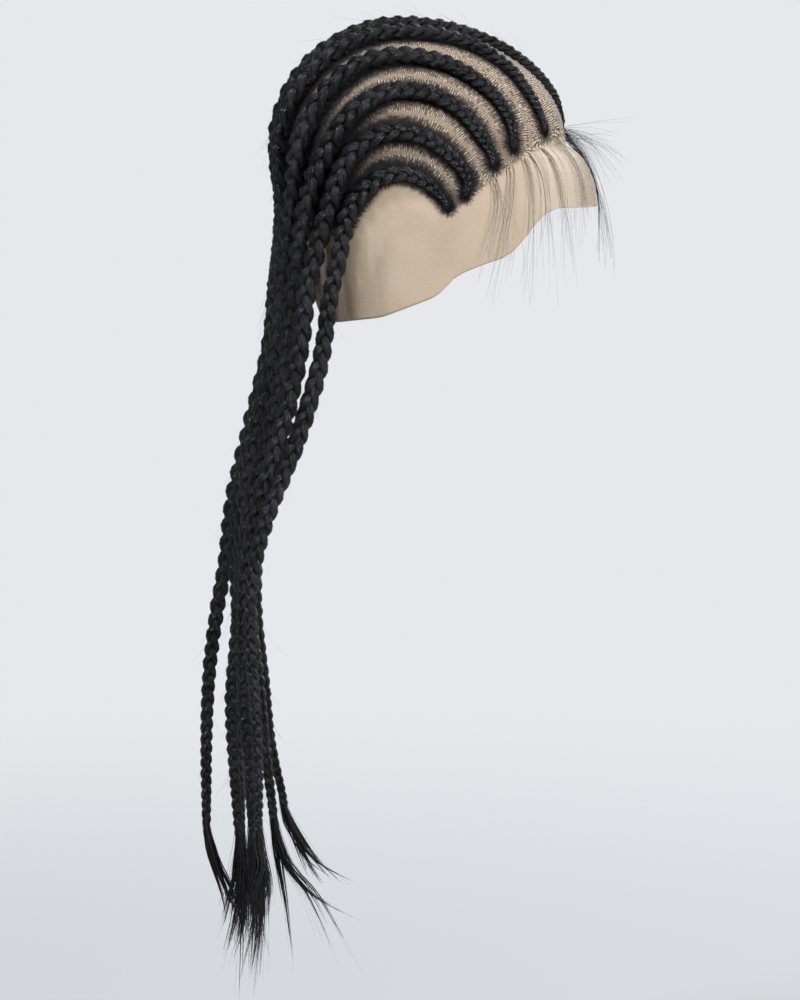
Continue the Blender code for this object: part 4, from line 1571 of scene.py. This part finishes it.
    def build(self, material: bpy.types.Material, rng: np.random.Generator) -> bpy.types.Object:
        """Lay the strands.

        Args:
            material: the finish of the hair.
            rng: the seeded source of random numbers.

        Returns:
            The finished piece.
        """
        bundle = StrandBundle("hairline_wisps")
        self.lay_tuft(bundle, rng)
        self.lay_tuft_strays(bundle, rng)
        self.lay_side_strays(bundle, rng)
        self.lay_clumps(bundle, rng)
        piece = bundle.build(material)
        seat_piece(piece, ("hairline_fringe",))
        return piece


@dataclass
class Flyaways:
    """Single hairs that stand off the plaits."""

    routes: dict
    per_plait: int = 110
    points: int = 6
    radius: float = 0.00006
    depth: float = 0.34
    lengths: tuple = ((0.005, 0.012), (0.008, 0.018), (0.015, 0.032))

    def build(self, material: bpy.types.Material, rng: np.random.Generator) -> bpy.types.Object:
        """Scatter the hairs along every plait.

        Args:
            material: the finish of the hair.
            rng: the seeded source of random numbers.

        Returns:
            The finished piece.
        """
        bundle = StrandBundle("flyaway_hair")
        share = np.linspace(0.0, 1.0, self.points)
        for route in self.routes.values():
            stations = rng.uniform(0.02, route.length() * 0.98, self.per_plait)
            centres, along, sides, normals, widths = route.frames(stations)
            for index in range(self.per_plait):
                angle = rng.uniform(-0.25, math.pi + 0.25)
                out = sides[index] * math.cos(angle) + normals[index] * math.sin(angle)
                length = rng.choice([rng.uniform(*span) for span in self.lengths])
                rise = rng.uniform(0.10, 0.42) * length
                bow = rng.uniform(-0.20, 0.40) * length
                start = centres[index] + out * widths[index] * self.depth
                line = (start + along[index] * (share * length)[:, None]
                        + out * (share ** 1.3 * rise)[:, None]
                        + sides[index] * (share ** 2 * bow * rng.choice((-1, 1)))[:, None])
                bundle.add(line, self.radius, self.radius * 0.4)
        piece = bundle.build(material)
        seat_piece(piece)
        return piece


@dataclass(frozen=True)
class Lamp:
    """One square lamp of the studio."""

    name: str
    place: tuple
    size: float
    power: float
    colour: tuple

    def build(self, aim: tuple) -> None:
        """Hang the lamp and turn it towards a point."""
        bpy.ops.object.light_add(type="AREA", location=self.place)
        lamp = bpy.context.active_object
        lamp.name = "light_" + self.name
        lamp.data.size = self.size
        lamp.data.energy = self.power
        lamp.data.color = self.colour
        way = Vector(aim) - Vector(self.place)
        lamp.rotation_euler = way.to_track_quat("-Z", "Y").to_euler()


@dataclass(frozen=True)
class Studio:
    """Camera at the photograph's angle, soft light and a pale floor."""

    distance: float = 2.8
    camera_y: float = 0.0032
    camera_z: float = -0.0445
    tilt: float = 0.09656
    lens: float = 149.48
    floor_height: float = -0.80
    floor_size: float = 14.0
    sensor_height: float = 36.0
    surround_light: float = 0.27
    background: tuple = (0.79, 0.805, 0.835, 1.0)
    aim: tuple = (0, 0, -0.2)
    lamps: tuple = (
        Lamp("key", (-3.4, -3.0, 1.8), 1.1, 225.0, (1.0, 0.985, 0.97)),
        Lamp("top", (-2.1, 1.6, 3.2), 1.1, 150.0, (0.95, 0.975, 1.0)),
        Lamp("fill", (3.6, -1.4, 1.6), 1.8, 110.0, (0.96, 0.98, 1.0)),
    )

    def build(self) -> None:
        """Set the stage."""
        self.place_camera()
        self.lay_floor()
        self.light()

    def place_camera(self) -> None:
        """Camera that looks at the wearer's right side, a little from above."""
        bpy.ops.object.camera_add(location=(-self.distance, self.camera_y, self.camera_z),
                                  rotation=(math.pi / 2 - self.tilt, 0, -math.pi / 2))
        camera = bpy.context.active_object
        camera.data.sensor_fit = "VERTICAL"
        camera.data.sensor_height = self.sensor_height
        camera.data.lens = self.lens
        bpy.context.scene.camera = camera

    def lay_floor(self) -> None:
        """Wide matt floor below the loose ends."""
        bpy.ops.mesh.primitive_plane_add(size=self.floor_size, location=(0, 0, self.floor_height))
        floor = bpy.context.active_object
        floor.name = "studio_floor"
        floor.data.materials.append(FloorFinish().material())

    def light(self) -> None:
        """Even pale surround with a soft key, a top light and a fill, with no film look."""
        bpy.context.scene.view_settings.view_transform = "Standard"
        world = bpy.data.worlds.new("studio")
        world.use_nodes = True
        nodes, links = world.node_tree.nodes, world.node_tree.links
        background = nodes["Background"]
        background.inputs["Color"].default_value = self.background
        seen = nodes.new("ShaderNodeLightPath")
        strength = nodes.new("ShaderNodeMapRange")
        strength.inputs["To Min"].default_value = self.surround_light
        links.new(seen.outputs["Is Camera Ray"], strength.inputs["Value"])
        links.new(strength.outputs["Result"], background.inputs["Strength"])
        bpy.context.scene.world = world
        for lamp in self.lamps:
            lamp.build(self.aim)


def main() -> None:
    """Build the wig's looks piece by piece."""
    logging.basicConfig(level=logging.INFO, format="%(name)s %(message)s")
    rng = np.random.default_rng(SEED)
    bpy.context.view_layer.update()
    Studio().build()
    shape = CapShape()
    routes = {name: PlaitRoute(name, shape) for name in PLAIT_ENDS}
    cap = LaceCap(shape, routes).build(LaceFinish("lace_net").material(),
                                       LaceFinish("lace_inner_face", is_outer=False).material())
    depsgraph = bpy.context.evaluated_depsgraph_get()
    surface = BVHTree.FromObject(cap, depsgraph)
    fibre = HairFinish("braided_fibre", grooved=True).material()
    fine = HairFinish("fine_hair", roughness=0.5).material()
    # Painted highlight: the fibres over the lobes get a brighter, glossier copy of the hair finish
    painted_sheen_finish = HairFinish("lobe_fibre", dark=(0.006, 0.006, 0.008, 1.0),
                        light=(0.060, 0.058, 0.070, 1.0), shine=0.62).material()
    profile = ridged_profile()
    # Fibres over the lobes, in the brighter finish that paints their highlights
    painted_sheen_fibres = {side: StrandBundle("lobe_fibres_" + side) for side in ("right", "left")}
    for name, route in routes.items():
        weave = BraidWeave(route)
        weave.build(profile, fibre)
        weave.surface_fibres(painted_sheen_fibres["left" if name.startswith("l") else "right"], rng)
        LooseTail(route).build(fine, rng)
    for bundle in painted_sheen_fibres.values():
        seat_piece(bundle.build(painted_sheen_finish))
    bpy.data.objects.remove(profile)
    right = [routes[name] for name in routes if not name.startswith("l")]
    left = [routes[name] for name in routes if name.startswith("l")]
    RootHair("root_hair_right", right, surface).build(fine, rng)
    RootHair("root_hair_left", left, surface).build(fine, rng)
    HairlineWisps(shape).build(fine, rng)
    Flyaways(routes).build(fine, rng)


if __name__ == "__main__":
    main()
